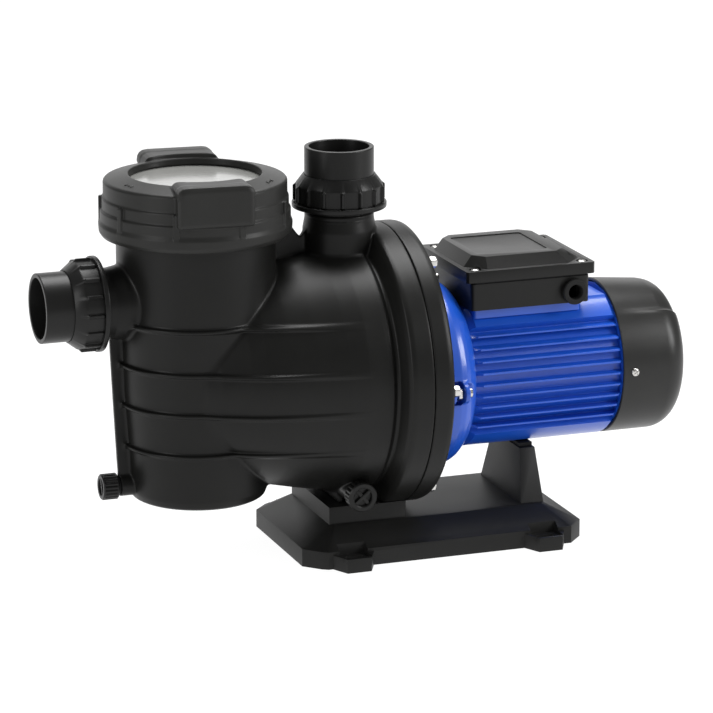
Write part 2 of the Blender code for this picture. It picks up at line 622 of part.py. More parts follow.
def motor_housing():
    length = HOUSING_X[1] - HOUSING_X[0]
    along = Matrix(((0, 0, 1, sum(HOUSING_X) / 2), (1, 0, 0, 0), (0, 1, 0, MOTOR_Z), (0, 0, 0, 1)))
    housing = plate("housing", [housing_outline(), circle(0.0525, 24)], length, along)
    pad = box("housing_pad", (0.1040, -0.0440, 0.1950), (0.2010, 0.0440, BOX_Z[0] - GAP))
    join(housing, cut(pad, rod("pad_clear", 0.0560, 0.0900, 0.2400, (0, 0, MOTOR_Z), "+X", 24)))
    lugs = [((HOUSING_X[0] + 0.0001, side * 0.0470 - 0.0050, z - 0.0045),
             (HOUSING_X[0] + 0.0080, side * 0.0470 + 0.0050, z + 0.0045))
            for side in (-1, 1) for z in (MOTOR_Z - 0.0420, MOTOR_Z + 0.0420)]
    join(housing, add_object("housing_lugs", box_mesh("housing_lugs", lugs)))
    wire_way = rod("wire_way", 0.0110, 0.1900, 0.2100, (0.1280, 0, 0), steps=10)
    finish(cut(housing, wire_way), "motor_housing", "motor_blue")


def motor_inside():
    at = (0, 0, MOTOR_Z)
    finish(tube("stator", 0.0517, 0.0310, 0.1300, 0.2000, at, "+X", 20), "stator_core", "lamination")
    for name, low in (("front_winding", 0.1130), ("rear_winding", 0.2004)):
        coil = [(0.0470, low + 0.0040), (0.0430, low), (0.0340, low + 0.0020), (0.0340, low + 0.0166),
                (0.0430, low + 0.0166)]
        finish(turned(name, coil, at, "+X", 16), name, "copper_winding")
    finish(tube("rotor", 0.0304, 0.0093, 0.1280, 0.2020, at, "+X", 16), "rotor_core", "lamination")
    shaft = [(0, 0.0110), (SHAFT_R, 0.0110), (SHAFT_R, 0.0720), (0.0074, 0.0720), (0.0074, 0.0960),
             (0.0090, 0.0980), (0.0090, 0.2180), (0.0060, 0.2180), (0.0060, 0.2600), (0, 0.2600)]
    body = turned("shaft", shaft, at, "+X", 12)
    finish(cut(body, rod("shaft_thread", 0.0027, 0.0100, 0.0200, at, "+X", 8)), "motor_shaft", "stainless")
    finish(tube("bearing", 0.0157, 0.0078, 0.0750, 0.0860, at, "+X", 12), "front_bearing", "bearing_steel")
    finish(tube("bearing", 0.0127, 0.0063, 0.2220, 0.2300, at, "+X", 12), "rear_bearing", "bearing_steel")
    shield = [(0.0131, 0.2195), (0.0514, 0.2250), (0.0514, 0.2321), (0.0640, 0.2321), (0.0640, 0.2470),
              (0.0590, 0.2470), (0.0590, 0.2370), (0.0080, 0.2345), (0.0080, 0.2310), (0.0131, 0.2310)]
    rear = turned("rear_shield", shield, at, "+X", 20)
    for index, (y, z) in enumerate(cover_screw_positions()):
        cut(rear, cover_screw_rod("shield_thread_%d" % index, 0.0018, 0.0560, 0.0700, y, z))
    finish(rear, "rear_shield", "motor_blue")


def cover_screw_positions():
    """Unit directions (y, z) of the fan cover's side screws."""
    return [(-1, 0), (1, 0)]


def cover_screw_rod(name, radius, low, high, y, z):
    direction = Matrix.Rotation(math.radians(90 if y < 0 else -90), 4, "X")
    obj = rod(name, radius, low, high, steps=8)
    obj.matrix_world = Matrix.Translation((0.2425, 0, MOTOR_Z)) @ direction
    return obj


def fan_and_cover():
    at = (0, 0, MOTOR_Z)
    hub = [(0, 0.2630), (0.0110, 0.2630), (0.0130, 0.2560), (0.0130, 0.2480), (0.0420, 0.2440),
           (0.0420, 0.2420), (0, 0.2420)]
    fan = turned("fan", hub, at, "+X", 16)
    join(fan, ring_of_boxes("fan_blades", 6, (0.0100, -0.0008, 0.2430), (0.0520, 0.0008, 0.2640), at, "+X"))
    cut(fan, rod("fan_bore", 0.0067, 0.2300, 0.2605, at, "+X", 8))
    finish(fan, "cooling_fan", "cover_black")

    outer = [(MOTOR_R, 0.2325), (MOTOR_R, 0.2740)]
    outer += [(0.0460 + 0.0208 * math.cos(a), 0.2740 + 0.0250 * math.sin(a))
              for a in [math.radians(30 * i) for i in range(1, 4)]]
    inner = [(0.0460 + 0.0186 * math.cos(a), 0.2740 + 0.0228 * math.sin(a))
             for a in [math.radians(30 * i) for i in range(3, -1, -1)]]
    profile = [(0, COVER_END_X), (0, COVER_END_X - 0.0022)] + inner + [(0.0646, 0.2325)] + outer
    cover = turned("cover", profile, at, "+X", 24)
    cut(cover, ring_of_boxes("grille", 12, (0.0140, -0.0025, 0.2900), (0.0430, 0.0025, 0.3050), at, "+X"))
    for index, (y, z) in enumerate(cover_screw_positions()):
        cut(cover, cover_screw_rod("cover_hole_%d" % index, 0.0024, 0.0600, 0.0700, y, z))
    finish(cover, "fan_cover", "cover_black")
    for index, (y, z) in enumerate(cover_screw_positions()):
        head = [(0, 0.0692), (0.0022, 0.0691), (0.0034, 0.0682), (0.0036, 0.0671), (0.0015, 0.0671),
                (0.0015, 0.0605), (0, 0.0605)]
        screw = turned("screw", head, steps=8)
        screw.matrix_world = (Matrix.Translation((0.2425, 0, MOTOR_Z))
                              @ Matrix.Rotation(math.radians(90 if y < 0 else -90), 4, "X"))
        finish(screw, "cover_screw_%d" % (index + 1), "stainless")


# ---------------------------------------------------------------- terminal box
def rounded_rectangle(x0, x1, y0, y1, radius, count=4):
    corners = ((x1 - radius, y1 - radius, 0), (x0 + radius, y1 - radius, 90),
               (x0 + radius, y0 + radius, 180), (x1 - radius, y0 + radius, 270))
    return [p for x, y, a in corners for p in arc((x, y), radius, a, a + 90, count)]


def box_screw_positions():
    return [(x, y) for x in (BOX_X[0] + 0.0052, BOX_X[1] - 0.0052) for y in (-BOX_Y + 0.0052, BOX_Y - 0.0052)]


def terminal_box():
    (x0, x1), (z0, z1) = BOX_X, BOX_Z
    middle = Matrix.Translation((0, 0, (z0 + z1) / 2))
    body = plate("box", [rounded_rectangle(x0, x1, -BOX_Y, BOX_Y, 0.004, 3)], z1 - z0, middle)
    room = rounded_rectangle(x0 + 0.003, x1 - 0.003, -BOX_Y + 0.003, BOX_Y - 0.003, 0.003, 2)
    inside = plate("box_inside", [room], 0.0300, Matrix.Translation((0, 0, z0 + 0.0180)))
    cut(body, inside)
    for index, (x, y) in enumerate(box_screw_positions()):
        join(body, rod("box_post_%d" % index, 0.0046, z0 + 0.001, z1 - 0.0002, (x, y, 0), steps=6))
    entry_x, entry_z = CABLE_ENTRY
    entry_at = (entry_x, 0, entry_z)
    join(body, rod("entry_boss", 0.0100, BOX_Y - 0.0020, BOX_Y + 0.0030, entry_at, "-Y", 16))
    cut(body, rod("entry_bore", 0.0080, BOX_Y - 0.0060, BOX_Y + 0.0100, entry_at, "-Y", 16))
    cut(body, rod("box_wire_way", 0.0100, 0.1950, z0 + 0.0100, (0.1280, 0, 0), steps=12))
    for index, (x, y) in enumerate(box_screw_positions()):
        cut(body, rod("box_thread_%d" % index, 0.0018, z1 - 0.0150, z1 + 0.0050, (x, y, 0), steps=6))
    finish(body, "terminal_box", "box_black")

    grommet = [(0.0105, BOX_Y + 0.0033), (0.0110, BOX_Y + 0.0048), (0.0104, BOX_Y + 0.0062),
               (0.0064, BOX_Y + 0.0062), (0.0060, BOX_Y - 0.0010), (0.0076, BOX_Y - 0.0010),
               (0.0076, BOX_Y + 0.0033)]
    finish(turned("grommet", grommet, entry_at, "-Y", 16), "cable_gland", "seal_rubber")

    edge = rounded_rectangle(x0 + 0.0004, x1 - 0.0004, -BOX_Y + 0.0004, BOX_Y - 0.0004, 0.004, 2)
    opening = rounded_rectangle(x0 + 0.0140, x1 - 0.0140, -BOX_Y + 0.0140, BOX_Y - 0.0140, 0.003, 2)
    seal = plate("box_seal", [edge, opening], 0.0014, Matrix.Translation((0, 0, z1 + 0.0010)))
    for index, (x, y) in enumerate(box_screw_positions()):
        cut(seal, rod("seal_hole_%d" % index, 0.0026, z1 - 0.005, z1 + 0.005, (x, y, 0), steps=6))
    finish(seal, "terminal_seal", "seal_rubber")
    terminal_lid(z1)

    block = box("block", (0.1580, -0.0300, z0 + 0.0033), (0.1760, 0.0300, z0 + 0.0180))
    slots = [((0.1550, -0.0270 + 0.0100 * i, z0 + 0.0120), (0.1790, -0.0270 + 0.0100 * i + 0.0070, z0 + 0.0200))
             for i in range(3)]
    cut(block, add_object("block_slots", box_mesh("block_slots", slots)))
    finish(block, "terminal_block", "brass_block")
    can = rod("capacitor", 0.0095, -0.0350, 0.0350, (0.1440, 0, z0 + 0.0131), "-Y", 16)
    finish(can, "capacitor", "capacitor_grey")


def terminal_lid(box_top):
    skirt_low, skirt_high, top = 0.0284, 0.0380, 0.0475
    x0, x1 = BOX_LID_X
    base_z = 0.2000

    def level(inset, z, corner, extra=0.0):
        low_x, high_x, y = x0 + inset, x1 - inset - extra, BOX_LID_Y - inset
        near = [(low_x, -y + corner, z), (low_x + corner, -y, z), (high_x - corner, -y, z), (high_x, -y + corner, z)]
        return near + [(px, -py, pz) for px, py, pz in near[::-1]]

    lid = frustum("lid", level(0.0, base_z + skirt_low, 0.0020), level(0.0, base_z + skirt_high, 0.0020))
    slope_foot = level(0.0032, base_z + skirt_high - 0.002, 0.0170)
    join(lid, frustum("lid_slope", slope_foot, level(0.0120, base_z + top, 0.0090, 0.010)))
    cut(lid, box("lid_inside", (x0 + 0.0165, -BOX_LID_Y + 0.0165, 0.2200),
                 (x1 - 0.0165, BOX_LID_Y - 0.0165, base_z + top - 0.0050)))
    cut(lid, box("lid_label", (x0 + 0.0180, -BOX_LID_Y + 0.0220, base_z + top - 0.0008),
                 (x1 - 0.0340, BOX_LID_Y - 0.0220, base_z + top + 0.0050)))
    head_z = base_z + skirt_high - 0.0022
    for index, (x, y) in enumerate(box_screw_positions()):
        cut(lid, rod("lid_spot_%d" % index, 0.0050, head_z, 0.2600, (x, y, 0), steps=10))
        cut(lid, rod("lid_hole_%d" % index, 0.0026, 0.2200, 0.2600, (x, y, 0), steps=6))
    finish(lid, "terminal_lid", "box_black")
    for index, (x, y) in enumerate(box_screw_positions()):
        head = [(0, 0.0026), (0.0026, 0.0025), (0.0038, 0.0014), (0.0040, 0.0), (0.0015, 0.0),
                (0.0015, box_top - 0.0120 - head_z), (0, box_top - 0.0120 - head_z)]
        screw = turned("screw", head, (x, y, head_z + GAP), steps=8)
        finish(screw, "terminal_screw_%d" % (index + 1), "stainless")


# ---------------------------------------------------------------- base
def base_outline():
    """Half outline of the foot plate on the -Y side, mirrored to the other side."""
    x0, x1 = BASE_X
    y = BASE_Y
    front = [(x0, -0.0598), (-0.0418, -0.0733), (-0.0370, -y), (0.1815, -y), (x1, -0.0605)]
    return front + [(px, -py) for px, py in front[::-1]]


def tab_outline(side, centre_x):
    root, tip, depth = 0.0200, 0.0105, 0.0918
    points = [(centre_x - root, side * (BASE_Y - 0.004)), (centre_x - tip, side * depth),
              (centre_x + tip, side * depth), (centre_x + root, side * (BASE_Y - 0.004))]
    return points if side < 0 else points[::-1]


def base():
    outline = base_outline()
    low = [(x, y, 0.0) for x, y in outline]
    edge = [(x, y, BASE_EDGE_Z) for x, y in outline]
    foot = frustum("base", low, edge)
    px0, px1 = PLATEAU_X
    plateau = [(px0, -0.0480), (px0 + 0.0030, -PLATEAU_Y), (px0 + 0.0035, -PLATEAU_Y), (px1 - 0.0030, -PLATEAU_Y),
               (px1, -0.0490)]
    plateau += [(x, -y) for x, y in plateau[::-1]]
    join(foot, frustum("base_ramp", [(x, y, BASE_EDGE_Z - 0.0005) for x, y in outline],
                       [(x, y, PLATEAU_Z) for x, y in plateau]))
    for side in (-1, 1):
        for centre_x in TAB_X:
            name = "tab_%d_%d" % (side, round(centre_x * 1000))
            tab = plate(name, [tab_outline(side, centre_x)], 0.0120, Matrix.Translation((0, 0, 0.0060)))
            join(foot, tab)
            spot = box(name + "_spot", (centre_x - 0.0125, min(side * 0.0690, side * 0.0880), 0.0095),
                       (centre_x + 0.0125, max(side * 0.0690, side * 0.0880), 0.0400))
            cut(foot, spot)
            slot = plate(name + "_slot", [slot_outline(0.0170, 0.0062)], 0.0300,
                         Matrix.Translation((centre_x, side * 0.0785, 0.0100)))
            cut(foot, slot)
    saddle = box("saddle", (px0, -0.0480, PLATEAU_Z - 0.002), (0.0420, 0.0480, SADDLE_Z))
    cut(saddle, rod("flange_clear", CASING_R + 0.0006, 0.0140, 0.0600, (0, 0, CASING_Z), "+X", 32))
    join(foot, saddle)
    pillar_low = [(0.1474, -0.0466, PLATEAU_Z - 0.002), (0.1679, -0.0480, PLATEAU_Z - 0.002),
                  (0.1679, 0.0480, PLATEAU_Z - 0.002), (0.1474, 0.0466, PLATEAU_Z - 0.002)]
    pillar_top = [(0.1520, -0.0315, PILLAR_TOP_Z), (0.1656, -0.0315, PILLAR_TOP_Z),
                  (0.1656, 0.0315, PILLAR_TOP_Z), (0.1520, 0.0315, PILLAR_TOP_Z)]
    join(foot, frustum("pillar", pillar_low, pillar_top))
    cells = [((0.0120 + 0.0640 * i, side * 0.0240 - 0.0190, -0.0020),
              (0.0650 + 0.0640 * i, side * 0.0240 + 0.0190, 0.0230)) for i in (0, 1) for side in (-1, 1)]
    cut(foot, add_object("base_cells", box_mesh("base_cells", cells)))
    for side in (-1, 1):
        at = (-0.0050, side * 0.0260, 0)
        cut(foot, rod("foot_counterbore_%d" % side, 0.0062, -0.0020, 0.0340, at, steps=10))
        cut(foot, rod("foot_clearance_%d" % side, 0.0026, 0.0300, 0.0500, at, steps=6))
    finish(foot, "base", "base_black")
    for index, side in enumerate((-1, 1)):
        head = [(0, 0.0310), (0.0050, 0.0310), (0.0050, 0.0337), (0.0020, 0.0337), (0.0020, 0.0540), (0, 0.0540)]
        finish(turned("screw", head, (-0.0050, side * 0.0260, 0), steps=8), "foot_screw_%d" % (index + 1),
               "stainless")
    pad = box("pad", (0.1530, -0.0270, PILLAR_TOP_Z + GAP), (0.1650, 0.0270, 0.0775))
    finish(pad, "motor_pad", "seal_rubber")


def slot_outline(length, width):
    """A slot along X with round ends."""
    reach = (length - width) / 2
    return arc((reach, 0), width / 2, -90, 90, 3) + arc((-reach, 0), width / 2, 90, 270, 3)


# ---------------------------------------------------------------- build
clear_scene()
PARTS = make_collection("pool_pump")
CUTTERS = make_collection("pool_pump_cutters")

pump_body()
pipe_union("inlet", (INLET_RIM_X, 0, INLET_Z), "-X")
pipe_union("outlet", (0, 0, OUTLET_TOP_Z), "+Z")
drain_plug("pot", (0, 0, POT_DRAIN_Z), "-X", 0.1945, 0.0110, 0.0135, 0.0)
drain_plug("volute", (VOLUTE_DRAIN_X, 0, VOLUTE_DRAIN_Z), "-Y", 0.0640, 0.0125, 0.0120, math.radians(40))
lid_ring()
strainer_basket()
seal_plate()
casing_bolts()
diffuser()
impeller()
shaft_seal()
front_bell()
motor_housing()
motor_inside()
fan_and_cover()
terminal_box()
base()
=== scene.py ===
"""Looks of the pool pump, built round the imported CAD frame.

Large mouldings are meshed from signed distance fields, so that their fillets are real geometry.
Everything else is turned, extruded or cut in mesh code. Lengths are metres, in the CAD's own frame.
"""

import json
from math import asin, cos, degrees, hypot, pi, radians, sin, sqrt, tan

import bmesh
import bpy
import numpy as np
from mathutils import Matrix, Vector


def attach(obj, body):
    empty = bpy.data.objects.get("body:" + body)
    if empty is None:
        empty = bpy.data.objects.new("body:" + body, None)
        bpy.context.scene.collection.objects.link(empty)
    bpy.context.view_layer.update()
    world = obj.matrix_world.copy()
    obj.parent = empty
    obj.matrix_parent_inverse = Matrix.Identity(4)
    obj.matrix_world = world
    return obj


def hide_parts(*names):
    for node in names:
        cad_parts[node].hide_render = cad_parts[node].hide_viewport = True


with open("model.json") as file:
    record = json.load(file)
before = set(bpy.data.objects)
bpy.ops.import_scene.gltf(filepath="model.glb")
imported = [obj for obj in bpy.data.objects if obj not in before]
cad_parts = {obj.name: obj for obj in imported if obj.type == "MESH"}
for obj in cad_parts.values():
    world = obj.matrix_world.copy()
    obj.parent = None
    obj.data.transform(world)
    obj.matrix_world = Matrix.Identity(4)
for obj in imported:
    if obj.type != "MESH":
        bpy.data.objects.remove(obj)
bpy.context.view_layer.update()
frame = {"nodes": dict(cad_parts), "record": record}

# ---------------------------------------------------------------- sizes shared with the CAD
CASING_Z = 0.1534
CASING_R = 0.1190
CHAMBER_R = 0.0980
FLANGE_REAR_X = 0.0405
POT_X = -0.1255
POT_BOTTOM_Z = 0.0545
COLLAR_R = 0.0680
COLLAR_TOP_Z = 0.3139
LEDGE_Z = 0.2670
RIB_HEIGHTS = (0.2095, 0.1725, 0.1380, 0.1025)
OUTLET_TOP_Z = 0.3420
INLET_RIM_X = -0.2612
INLET_Z = 0.2250
MOTOR_Z = 0.1420
MOTOR_R = 0.0668
LUG_TURN = radians(-5.1)
SADDLE_Z = 0.0445
BOX_X = (0.0990, 0.2060)
BOX_Y = 0.0510
BOX_Z = (0.2035, 0.2262)
BOX_LID_X = (0.0935, 0.2095)
BOX_LID_Y = 0.0545
CABLE_ENTRY = (0.1910, 0.2137)
BASE_X = (-0.0545, 0.1960)
BASE_Y = 0.0764

POT_DRAIN_Z = 0.0680                       # axis of the strainer pot's drain
VOLUTE_DRAIN = (-0.0070, 0.0600)           # axis of the volute's drain, in x and z
FOOT_SCREW = (-0.0050, 0.0260)             # screws through the casing's foot, in x and to each side
CASING_BOLTS = 6
CASING_BOLT_R = 0.1115
BELL_BOLT_R = 0.0800
RING_RIBS = 9
NUT_RIBS = 15
HOUSING_X = (0.0985, 0.2318)
HOUSING_BORE_R = 0.0525
FINS = 9                                   # on each side of the motor
COVER_SCREW_X = 0.2425
WIRE_X = 0.1280                            # hole for the leads between the motor and its box
PLATEAU_X = (-0.0262, 0.1672)              # raised middle of the base
TAB_X = (-0.0150, 0.1568)                  # fixing tabs of the base

STEPS = 128          # segments round a turned piece
PITCH = 0.00125  # cell of the meshed fields


# ---------------------------------------------------------------- signed distance fields
def smooth_min(a, b, k):
    h = np.maximum(k - np.abs(a - b), 0.0) / k
    return np.minimum(a, b) - h * h * (k * 0.25)


def smooth_max(a, b, k):
    return -smooth_min(-a, -b, k)


class Section:
    """Signed distance to a closed outline, read from a table; soft rounds its corners."""

    step, margin = 0.0005, 0.010

    def __init__(self, outline, soft=0.0):
        points = np.array(outline, float)
        low = points.min(0) - self.margin
        size = np.ceil((points.max(0) + self.margin - low) / self.step).astype(int) + 1
        u = (low[0] + self.step * np.arange(size[0]))[:, None]
        v = (low[1] + self.step * np.arange(size[1]))[None, :]
        best = np.full((size[0], size[1]), 1e9)
        inside = np.zeros(best.shape, bool)
        for (u0, v0), (u1, v1) in zip(points, np.roll(points, -1, 0)):
            du, dv = u1 - u0, v1 - v0
            length = du * du + dv * dv
            if length < 1e-14:
                continue
            t = np.clip(((u - u0) * du + (v - v0) * dv) / length, 0, 1)
            best = np.minimum(best, (u - u0 - t * du) ** 2 + (v - v0 - t * dv) ** 2)
            if dv:
                crosses = ((v0 > v) != (v1 > v)) & (u < du * (v - v0) / dv + u0)
                inside ^= crosses
        table = np.sqrt(best) * np.where(inside, -1.0, 1.0)
        if soft:
            reach = int(3 * soft / self.step)
            taps = np.exp(-0.5 * (np.arange(-reach, reach + 1) * self.step / soft) ** 2)
            taps /= taps.sum()
            for axis in (0, 1):
                padded = np.pad(table, [(reach, reach) if a == axis else (0, 0) for a in (0, 1)], "edge")
                count = table.shape[axis]
                table = sum(w * np.take(padded, np.arange(i, i + count), axis) for i, w in enumerate(taps))
        self.low = low
        self.table = table.astype(np.float32)

    def __call__(self, u, v):
        u, v = np.broadcast_arrays(u, v)
        i = (u - self.low[0]) / self.step
        j = (v - self.low[1]) / self.step
        ic = np.clip(i, 0, self.table.shape[0] - 1.001)
        jc = np.clip(j, 0, self.table.shape[1] - 1.001)
        i0, j0 = ic.astype(np.int32), jc.astype(np.int32)
        fi, fj = ic - i0, jc - j0
        t = self.table
        near = (t[i0, j0] * (1 - fi) + t[i0 + 1, j0] * fi) * (1 - fj)
        near += (t[i0, j0 + 1] * (1 - fi) + t[i0 + 1, j0 + 1] * fi) * fj
        return near + np.hypot(i - ic, j - jc) * self.step


def lathe(profile, soft=0.0):
    """Section of a solid of revolution, mirrored over the axis where its outline touches it."""
    if any(abs(r) < 1e-9 for r, h in profile):
        profile = list(profile) + [(-r, h) for r, h in profile[::-1] if abs(r) > 1e-9]
    return Section(profile, soft)


def slab(value, low, high):
    return np.abs(value - (low + high) / 2) - (high - low) / 2


def block(x, y, z, low, high, round_by=0.001):
    """Signed distance to a box with rounded edges."""
    parts = [slab(value, a, b) + round_by for value, a, b in zip((x, y, z), low, high)]
    outside = np.sqrt(sum(np.maximum(p, 0) ** 2 for p in parts))
    return outside + np.minimum(np.maximum(np.maximum(parts[0], parts[1]), parts[2]), 0) - round_by


def pin(radial, along, radius, low, high, k=0.0008):
    return smooth_max(radial - radius, slab(along, low, high), k)


def blended(body, *parts):
    """Joins (distance, blend radius) parts to a body, in order."""
    for part, k in parts:
        body = smooth_min(body, part, k)
    return body


def folded(angle, count):
    """The angle from the nearest of count evenly spaced spokes."""
    sector = 2 * pi / count
    return np.mod(angle + sector / 2, sector) - sector / 2


def casing_bolt_distance(y, z):
    ring = np.hypot(y, z - CASING_Z)
    turn = folded(np.arctan2(z - CASING_Z, y), CASING_BOLTS)
    return np.hypot(ring * np.cos(turn) - CASING_BOLT_R, ring * np.sin(turn))


def bell_bolt_distance(y, z):
    """Distance from the nearest of the four bell bolts, which stand beside, above and below the motor's axis."""
    edge = np.maximum(np.abs(y), np.abs(z - MOTOR_Z))
    other = np.minimum(np.abs(y), np.abs(z - MOTOR_Z))
    return np.hypot(edge - BELL_BOLT_R, other)


def thread(along, angle, pitch, depth, low, high):
    """Distance to add to a cylinder for a helical thread between two heights."""
    wave = 0.5 + 0.5 * np.cos(2 * pi * along / pitch + angle)
    fade = np.clip(-slab(along, low, high) / 0.002, 0, 1)
    return depth * wave * wave * fade


def mesh_field(field, low, high, pitch, rounds=2):
    """Surface nets: a closed quad mesh on the field's zero level, moved onto it and given its normals."""
    axes = [np.arange(a - 2.5 * pitch, b + 2.5 * pitch, pitch, dtype=np.float32) for a, b in zip(low, high)]
    shape = tuple(len(a) for a in axes)
    values = np.empty(shape, np.float32)
    y, z = axes[1][None, :, None], axes[2][None, None, :]
    for start in range(0, shape[0], 24):
        x = axes[0][start:start + 24, None, None]
        values[start:start + 24] = field(x, y, z)
    strides = np.array([shape[1] * shape[2], shape[2], 1])
    quads, crossings = [], []
    for axis in range(3):
        here = [slice(None)] * 3
        there = [slice(None)] * 3
        here[axis], there[axis] = slice(0, -1), slice(1, None)
        a, b = values[tuple(here)], values[tuple(there)]
        node = np.argwhere((a < 0) != (b < 0))
        va = a[tuple(node.T)]
        vb = b[tuple(node.T)]
        point = np.stack([axes[k][node[:, k]] for k in range(3)], 1).astype(float)
        point[:, axis] += (va / (va - vb)) * pitch
        flat = node @ strides
        p, q = [k for k in range(3) if k != axis]
        ring = np.stack([flat - strides[p] - strides[q], flat - strides[q], flat, flat - strides[p]], 1)
        flip = (va < 0) != (axis == 1)
        ring[~flip] = ring[~flip][:, ::-1]
        quads.append(ring)
        crossings.append(point)
    quads, crossings = np.concatenate(quads), np.concatenate(crossings)
    used, index = np.unique(quads.ravel(), return_inverse=True)
    index = index.reshape(quads.shape)
    count = np.bincount(index.ravel()).astype(float)
    points = np.stack([np.bincount(index.ravel(), np.repeat(line, 4)) / count for line in crossings.T], 1)

    def slope(p):
        e = 0.0002
        cols = []
        for k in range(3):
            step = np.zeros(3)
            step[k] = e
            a, b = p + step, p - step
            cols.append((field(a[:, 0], a[:, 1], a[:, 2]) - field(b[:, 0], b[:, 1], b[:, 2])) / (2 * e))
        return np.stack(cols, 1)

    def settle(p):
        g = slope(p)
        d = field(p[:, 0], p[:, 1], p[:, 2])
        move = (d / np.maximum((g * g).sum(1), 0.05))[:, None] * g
        length = np.linalg.norm(move, axis=1, keepdims=True)
        return p - move * np.minimum(1.0, pitch / np.maximum(length, 1e-12))

    for _ in range(rounds):
        points = settle(points)
        total = np.zeros_like(points)
        links = np.zeros(len(points))
        for a in range(4):
            for b in ((a + 1) % 4, (a + 3) % 4):
                for k in range(3):
                    total[:, k] += np.bincount(index[:, a], points[index[:, b], k], len(points))
                links += np.bincount(index[:, a], minlength=len(points))
        points = 0.5 * points + 0.5 * total / links[:, None]
    points = settle(settle(points))
    normals = slope(points)
    normals /= np.maximum(np.linalg.norm(normals, axis=1, keepdims=True), 1e-9)
    mesh = bpy.data.meshes.new("field")
    mesh.vertices.add(len(points))
    mesh.vertices.foreach_set("co", points.astype(np.float32).ravel())
    mesh.loops.add(index.size)
    mesh.loops.foreach_set("vertex_index", index.ravel().astype(np.int32))
    mesh.polygons.add(len(index))
    mesh.polygons.foreach_set("loop_start", (4 * np.arange(len(index))).astype(np.int32))
    mesh.update(calc_edges=True)
    mesh.validate()
    mesh.shade_smooth()
    mesh.normals_split_custom_set_from_vertices([tuple(n) for n in normals])
    return mesh


# ---------------------------------------------------------------- turned, extruded and cut meshes
shift = Matrix.Translation
TURNS = {
    "+Z": Matrix.Identity(4),
    "+X": Matrix.Rotation(radians(90), 4, "Y"),
    "-X": Matrix.Rotation(radians(-90), 4, "Y"),
    "-Y": Matrix.Rotation(radians(90), 4, "X"),
    "+Y": Matrix.Rotation(radians(-90), 4, "X"),
}


def fillet(points, radius, count=4, closed=True):
    """Rounds the corners of a polyline; a point may carry its own radius as a third number."""
    made = []
    total = len(points)
    for i, point in enumerate(points):
        r = point[2] if len(point) > 2 else radius
        here = Vector(point[:2])
        back = Vector(points[i - 1][:2]) - here
        ahead = Vector(points[(i + 1) % total][:2]) - here
        end = not closed and i in (0, total - 1)
        angle = pi if end or min(back.length, ahead.length) < 1e-7 else back.angle(ahead)
        if r <= 0 or angle > radians(176):
            made.append((here.x, here.y))
            continue
        reach = min(r / tan(angle / 2), back.length * 0.48, ahead.length * 0.48)
        a = here + back.normalized() * reach
        b = here + ahead.normalized() * reach
        for k in range(count + 1):
            t = k / count
            made.append(tuple(a * (1 - t) ** 2 + here * 2 * t * (1 - t) + b * t * t))
    return made


def revolve(profile, at=(0, 0, 0), axis="+Z", steps=STEPS, wave=None):
    """Mesh of revolution from (radius, height) points; wave(angle, radius, height) adds to the radius."""
    on_axis = [abs(r) < 1e-9 for r, h in profile]
    closed = not any(on_axis)
    if sum(a[0] * b[1] - b[0] * a[1] for a, b in zip(profile, profile[1:] + profile[:1])) < 0:
        profile = profile[::-1]
        on_axis = on_axis[::-1]
    while any(on_axis) and not (on_axis[0] and on_axis[-1]):
        profile = profile[1:] + profile[:1]
        on_axis = on_axis[1:] + on_axis[:1]
    bm = bmesh.new()
    rings = []
    for (r, h), axial in zip(profile, on_axis):
        if axial:
            rings.append([bm.verts.new((0, 0, h))] * steps)
            continue
        ring = []
        for i in range(steps):
            a = 2 * pi * i / steps
            radius = r + (wave(a, r, h) if wave else 0.0)
            ring.append(bm.verts.new((radius * cos(a), radius * sin(a), h)))
        rings.append(ring)
    pairs = list(zip(rings, rings[1:])) + ([(rings[-1], rings[0])] if closed else [])
    for low, high in pairs:
        for i in range(steps):
            j = (i + 1) % steps
            corners = []
            for v in (low[i], low[j], high[j], high[i]):
                if v not in corners:
                    corners.append(v)
            if len(corners) > 2:
                bm.faces.new(corners)
    bm.transform(shift(at) @ TURNS[axis])
    bmesh.ops.recalc_face_normals(bm, faces=bm.faces)
    return to_mesh(bm)


def placed(name, data):
    """A new object in the scene."""
    obj = bpy.data.objects.new(name, data)
    bpy.context.scene.collection.objects.link(obj)
    return obj


def to_mesh(bm, angle=35):
    mesh = bpy.data.meshes.new("piece")
    bm.to_mesh(mesh)
    bm.free()
    mesh.shade_smooth()
    mesh.set_sharp_from_angle(angle=radians(angle))
    return mesh


def loft(bottom, top, matrix=Matrix.Identity(4)):
    """A closed solid between two outlines with as many points."""
    bm = bmesh.new()
    lower = [bm.verts.new(p) for p in bottom]
    upper = [bm.verts.new(p) for p in top]
    bm.faces.new(lower[::-1])
    bm.faces.new(upper)
    for i in range(len(bottom)):
        j = (i + 1) % len(bottom)
        bm.faces.new((lower[i], lower[j], upper[j], upper[i]))
    bm.transform(matrix)
    bmesh.ops.recalc_face_normals(bm, faces=bm.faces)
    return to_mesh(bm)


def prism(outline, low, high, matrix=Matrix.Identity(4)):
    """A flat outline given a thickness along its Z."""
    return loft([(u, v, low) for u, v in outline], [(u, v, high) for u, v in outline], matrix)


def boxes(*corners):
    bm = bmesh.new()
    for low, high in corners:
        size = [b - a for a, b in zip(low, high)]
        centre = [(a + b) / 2 for a, b in zip(low, high)]
        bmesh.ops.create_cube(bm, size=1.0, matrix=shift(centre) @ Matrix.Diagonal((*size, 1.0)))
    return to_mesh(bm)


def merged(*meshes):
    bm = bmesh.new()
    for mesh in meshes:
        bm.from_mesh(mesh)
    return to_mesh(bm)


def less(*meshes):
    return [("DIFFERENCE", mesh) for mesh in meshes]


def plus(*meshes):
    return [("UNION", mesh) for mesh in meshes]


